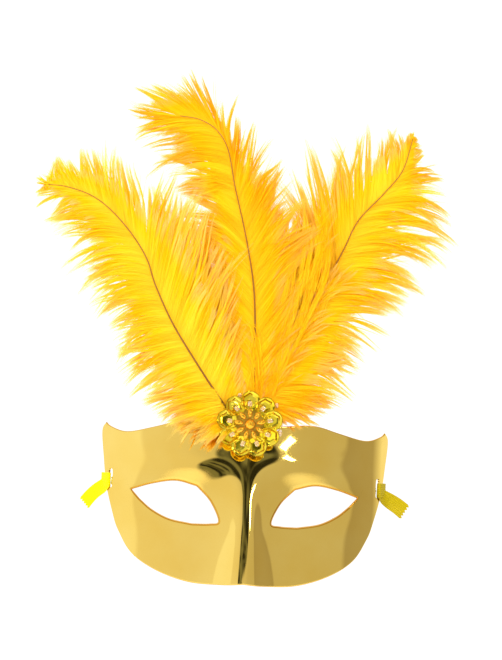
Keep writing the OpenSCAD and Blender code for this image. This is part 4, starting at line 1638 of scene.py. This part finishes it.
@dataclass
class RibbonTie:
    """A satin ribbon looped round one of the shell's side bars, its long end folded up behind the cheek."""

    shell: MaskShell
    side: int
    finish: SatinRibbon
    width: float = 10.0
    thick: float = 0.22
    length: float = 400.0
    clear: float = 0.55
    edge_x: float = 81.4
    knot_r: float = 3.4
    folds: int = 16
    fold_l: float = 25.0
    fold_t: float = 6.2
    bundle_x: float = 56.5
    bundle_y: float = 28.6
    bundle_top: float = -7.0
    teeth: int = 5

    @property
    def word(self) -> str:
        """Name the side."""
        return "left" if self.side < 0 else "right"

    @property
    def knot_at(self) -> np.ndarray:
        """Place of the knot, behind the slot."""
        return self.shell.behind(self.shell.slot_x, self.shell.slot_z, 5.2) + (1, 1.1, -1.5)

    def strip(
        self, upper: np.ndarray, lower: np.ndarray, across: int, pinked: bool, sag: float = 0.0
    ) -> Surface:
        """Stretch a band between two edges, with both faces and all four sides.

        A point is the mix of the edges by its share across, pushed along the band's normal by sag times a
        half sine. A pinked end is cut back by a saw-tooth of the share across.

        Args:
            upper: Points of the upper edge, in order along the ribbon.
            lower: Points of the lower edge.
            across: How many steps the band has across.
            pinked: Whether the far end is cut into teeth.
            sag: How far the middle stands off the straight line between the edges.

        Returns:
            The closed band, with its weave map's numbers as the values "weave_u" and "weave_v".
        """
        n = len(upper)
        v = np.linspace(0, 1, across + 1)[None, :, None]
        run = np.linspace(0, 1, n)
        if pinked:
            saw = np.abs(np.mod(v * self.teeth, 1) * 2 - 1)
            cut = 1 - 0.05 * saw
            place = run[:, None, None] * cut
            i = np.minimum((place * (n - 1)).astype(int), n - 2)
            f = place * (n - 1) - i
            top = upper[i[..., 0]] * (1 - f) + upper[i[..., 0] + 1] * f
            low = lower[i[..., 0]] * (1 - f) + lower[i[..., 0] + 1] * f
        else:
            top, low = upper[:, None], lower[:, None]
        rows = top * (1 - v) + low * v
        normal = unit(np.cross(np.gradient(rows, axis=0), np.gradient(rows, axis=1)))
        rows = rows + normal * sag * np.sin(np.pi * v)
        sheets = np.stack([rows + normal * self.thick / 2, rows - normal * self.thick / 2])
        count = n * (across + 1)
        face = grid_faces(n, across + 1)
        index = np.arange(count).reshape(n, across + 1)
        rim = np.concatenate([index[0], index[1:, -1], index[-1, ::-1][1:], index[::-1, 0][1:-1]])
        after = np.roll(rim, -1)
        sides = np.stack([rim, after, after + count, rim + count], axis=-1)
        faces = np.vstack([face, face[:, ::-1] + count, sides[:, ::-1]])
        step = np.concatenate([[0], np.cumsum(np.linalg.norm(np.diff((upper + lower) / 2, axis=0), axis=1))])
        weave_u = np.broadcast_to(v[..., 0], (n, across + 1)).ravel()
        weave_v = np.repeat(step / self.width, across + 1)
        values = {"weave_u": np.tile(weave_u, 2), "weave_v": np.tile(weave_v, 2)}
        return Surface(sheets.reshape(-1, 3), faces, values)

    def mirrored(self, surface: Surface) -> Surface:
        """Return the surface on this tie's own side."""
        if self.side > 0:
            return surface
        return Surface(surface.points * (-1, 1, 1), surface.faces[:, ::-1], surface.values)

    def make(
        self, name: str, surface: Surface, body: str, replaces: tuple[str, ...] = ()
    ) -> bpy.types.Object:
        """Make a ribbon piece and lay its weave map on it."""
        satin = [self.finish.material()]
        piece = make_piece(name, self.mirrored(surface), satin, body, replaces, crease=50)
        mesh = piece.data
        corners = np.empty(len(mesh.loops), np.int32)
        mesh.loops.foreach_get("vertex_index", corners)
        uv = np.stack([surface.values["weave_u"][corners], surface.values["weave_v"][corners]], axis=-1)
        mesh.uv_layers.new(name="weave").uv.foreach_set("vector", uv.astype(np.float32).ravel())
        return piece

    def loop(self) -> Surface:
        """Work out the loop: a band round the bar between the slot and the side edge, a little clear of it.

        Its section is a superellipse of the fourth power, which is a rectangle with round corners.
        """
        shell = self.shell
        turn = -math.atan2(*(-shell.normal(np.array(shell.slot_x), np.array(shell.slot_z))[:2]))
        inner = shell.slot_x + shell.slot_w / 2 * math.cos(turn)
        ends = np.array([shell.front(x, shell.slot_z) for x in (inner, self.edge_x)])
        backs = np.array([shell.behind(x, shell.slot_z, shell.wall) for x in (inner, self.edge_x)])
        middle = (ends.mean(0) + backs.mean(0)) / 2
        run = unit(ends[1] - ends[0])
        out = unit(ends.mean(0) - backs.mean(0))
        half_run = np.linalg.norm(ends[1] - ends[0]) / 2 + self.clear
        half_out = shell.wall / 2 + self.clear
        a = np.linspace(0, 2 * np.pi, 61)
        c, s = np.cos(a), np.sin(a)
        u = half_run * np.sign(c) * np.abs(c) ** 0.5
        w = half_out * np.sign(s) * np.abs(s) ** 0.5
        path = middle + u[:, None] * run + w[:, None] * out
        low_z = shell.slot_z - shell.slot_h / 2 + 0.4
        upper, lower = path.copy(), path.copy()
        upper[:, 2], lower[:, 2] = low_z + 8, low_z
        return self.strip(upper, lower, 8, pinked=False)

    def tail(self) -> Surface:
        """Work out the short pinked tail that lies in front of the slot and off past the side edge."""
        shell = self.shell
        s = np.linspace(0, 1, 44)
        start = [tuple(shell.front(x, z) - (0, 1, 0)) for x, z in ((78.9, 13.6), (81.4, 10.8))]
        far = [(86, 39.6, 7.4), (90, 40.4, 3.6), (94, 40.8, -1.2)]
        if self.side > 0:
            far = [(86.4, 39.6, 8.4), (91.4, 40.4, 5.6), (96.4, 40.8, 2.0)]
        upper = along(start + far, s)
        start = [tuple(shell.front(x, z) - (0, 1, 0)) for x, z in ((77.6, 6.2), (79.4, 3.2))]
        far = [(83, 39.2, 0), (86, 40, -3.4), (88.6, 40.8, -7.2)]
        if self.side > 0:
            far = [(83, 39.2, 0.2), (87, 40, -2.4), (91.6, 40.8, -6.0)]
        lower = along(start + far, s)
        wave = np.sin(s * 9 + (0.6 if self.side > 0 else 2.2)) * 0.5 * s
        upper[:, 1] += wave
        lower[:, 1] -= wave * 0.8
        return self.strip(upper, lower, self.teeth * 4, pinked=True, sag=0.5)

    def knot(self) -> Surface:
        """Work out the stopper knot: a trefoil whose flat band turns with it, closed on itself."""
        rings, sides = 120, 16
        t = np.linspace(0, 2 * np.pi, rings, endpoint=False)
        wound = [np.sin(t) + 2 * np.sin(2 * t), np.cos(t) - 2 * np.cos(2 * t), -np.sin(3 * t)]
        path = np.stack(wound, axis=-1)
        run = unit(np.roll(path, -1, 0) - np.roll(path, 1, 0))
        out = unit(path * (1, 1, 0.4))
        flat = unit(np.cross(run, out))
        out = np.cross(flat, run)
        turn = np.linspace(0, 2 * np.pi, sides, endpoint=False)
        scale = (self.knot_r - 0.9) / 3
        section = np.cos(turn)[:, None] * flat[:, None] * 1.15 + np.sin(turn)[:, None] * out[:, None] * 0.62
        rows = path[:, None] * scale * (1, 1, 1.5) + section
        points = rows[..., [2, 0, 1]] + self.knot_at
        faces = grid_faces(rings, sides, wrap_rows=True, wrap_columns=True)
        values = {"weave_u": np.tile(turn / (2 * np.pi), rings), "weave_v": np.repeat(t * 1.2, sides)}
        return Surface(points.reshape(-1, 3), faces, values)

    def lead(self) -> Surface:
        """Work out the lead from the knot to the top of the folded bundle."""
        start = self.knot_at - (self.knot_r + 0.4, 0, 0)
        s = np.linspace(0, 1, 40)
        x, y, z = self.bundle_x, self.bundle_y, self.bundle_top
        upper = along(
            [
                tuple(start + (0, 3.4, 0.6)), tuple(start + (-0.4, 2.6, -5.4)), (66.5, 35.5, -5.5),
                (x + 4.4, y + 2.4, z - 1.6), (x + 4.6, y + 0.6, -13),
            ],
            s,
        )
        lower = along(
            [
                tuple(start + (-0.4, -3.4, -0.4)), tuple(start + (-1, -3.6, -5)), (63.2, 29.5, -6.5),
                (x - 4.4, y + 2.4, z - 1.6), (x - 4.6, y + 0.6, -13),
            ],
            s,
        )
        return self.strip(upper, lower, 10, pinked=False, sag=0.35)

    def bundle(self) -> Surface:
        """Work out the folded ribbon: runs that turn back in half circles, one behind the other."""
        pitch = (self.fold_t - self.thick) / (self.folds - 1)
        straight = self.fold_l - 2 * pitch
        path = []
        for k in range(self.folds):
            y = k * pitch - (self.folds - 1) * pitch / 2
            ends = (straight / 2, -straight / 2) if k % 2 == 0 else (-straight / 2, straight / 2)
            loose = 0.8 * math.sin(2.1 * k)
            path += [(y, ends[0] + (loose if k % 2 == 0 else -loose) * 0.5)]
            path += [(y + pitch * 0.12 * math.sin(k), 0.4 * ends[0] * (1 - 2 * f)) for f in (0.0, 1.0)]
            path += [(y, ends[1] + (loose if k % 2 else -loose) * 0.5)]
            if k < self.folds - 1:
                beyond = math.copysign(pitch * 0.9, ends[1])
                path += [(y + pitch / 2, ends[1] + beyond)]
        s = np.linspace(0, 1, 640)
        line = along(path, s)
        right = np.full(len(s), self.bundle_x + self.width / 2)
        middle = self.bundle_top - self.fold_l / 2
        upper = np.stack([right, self.bundle_y + line[:, 0], middle + line[:, 1]], axis=-1)
        lower = upper - (self.width, 0, 0)
        sway = 0.25 * np.sin(s * 50)[:, None] * np.array([1.0, 0, 0])
        return self.strip(upper + sway, lower + sway, 6, pinked=False)

    def build(self) -> None:
        """Make the ribbon's pieces on both bodies and dress its tie band in thread."""
        word = self.word
        fold = f"{word}_fold"
        tail = self.make(f"{word}_ribbon_tail", self.tail(), "mask", (f"{word}_ribbon",))
        self.make(f"{word}_ribbon_loop", self.loop(), "mask")
        self.make(f"{word}_ribbon_knot", self.knot(), "mask")
        self.make(f"{word}_ribbon_lead", self.lead(), fold)
        bundle = self.make(f"{word}_ribbon_folds", self.bundle(), fold, (f"{word}_tie",))
        dress_node(f"{word}_tie_band", SewingThread().material())


# ---------------------------------------------------------------- all together


def main() -> None:
    """Build the studio and every part of the mask."""
    logging.basicConfig(level=logging.INFO, format="%(name)s %(message)s")
    studio = Studio()
    studio.camera()
    studio.floor()
    studio.world()
    studio.lamp("key", (-38, 34), 2000, (900, 900), 26)
    studio.lamp("fill", (40, 8), 2000, (900, 900), 14)
    studio.lamp("front", (-6, 4), 2400, (1400, 1400), 26)
    studio.lamp("flash", (23, 17), 1500, (260, 110), 1.8, glint=True, slant_deg=-50)
    studio.lamp("brow_glint", (-11, 28), 1500, (90, 70), 0.35, glint=True)
    studio.lamp("ridge_glint", (22, 40), 1500, (110, 160), 0.6, glint=True)
    shell = MaskShell()
    shell.build()
    Flower(shell).build()
    for plume in plumes():
        plume.build()
    filling().build()
    for tuft in tufts():
        tuft.build()
    RibbonTie(shell, -1, SatinRibbon("bright_yellow_satin", "#FFF200", "#F8E600")).build()
    # The right tie is the same satin as the left, coloured darker as painted shade for the dimmer light on
    # that side
    RibbonTie(shell, 1, SatinRibbon("shaded_yellow_satin", "#BEA800", "#B29C00")).build()


if __name__ == "__main__":
    main()
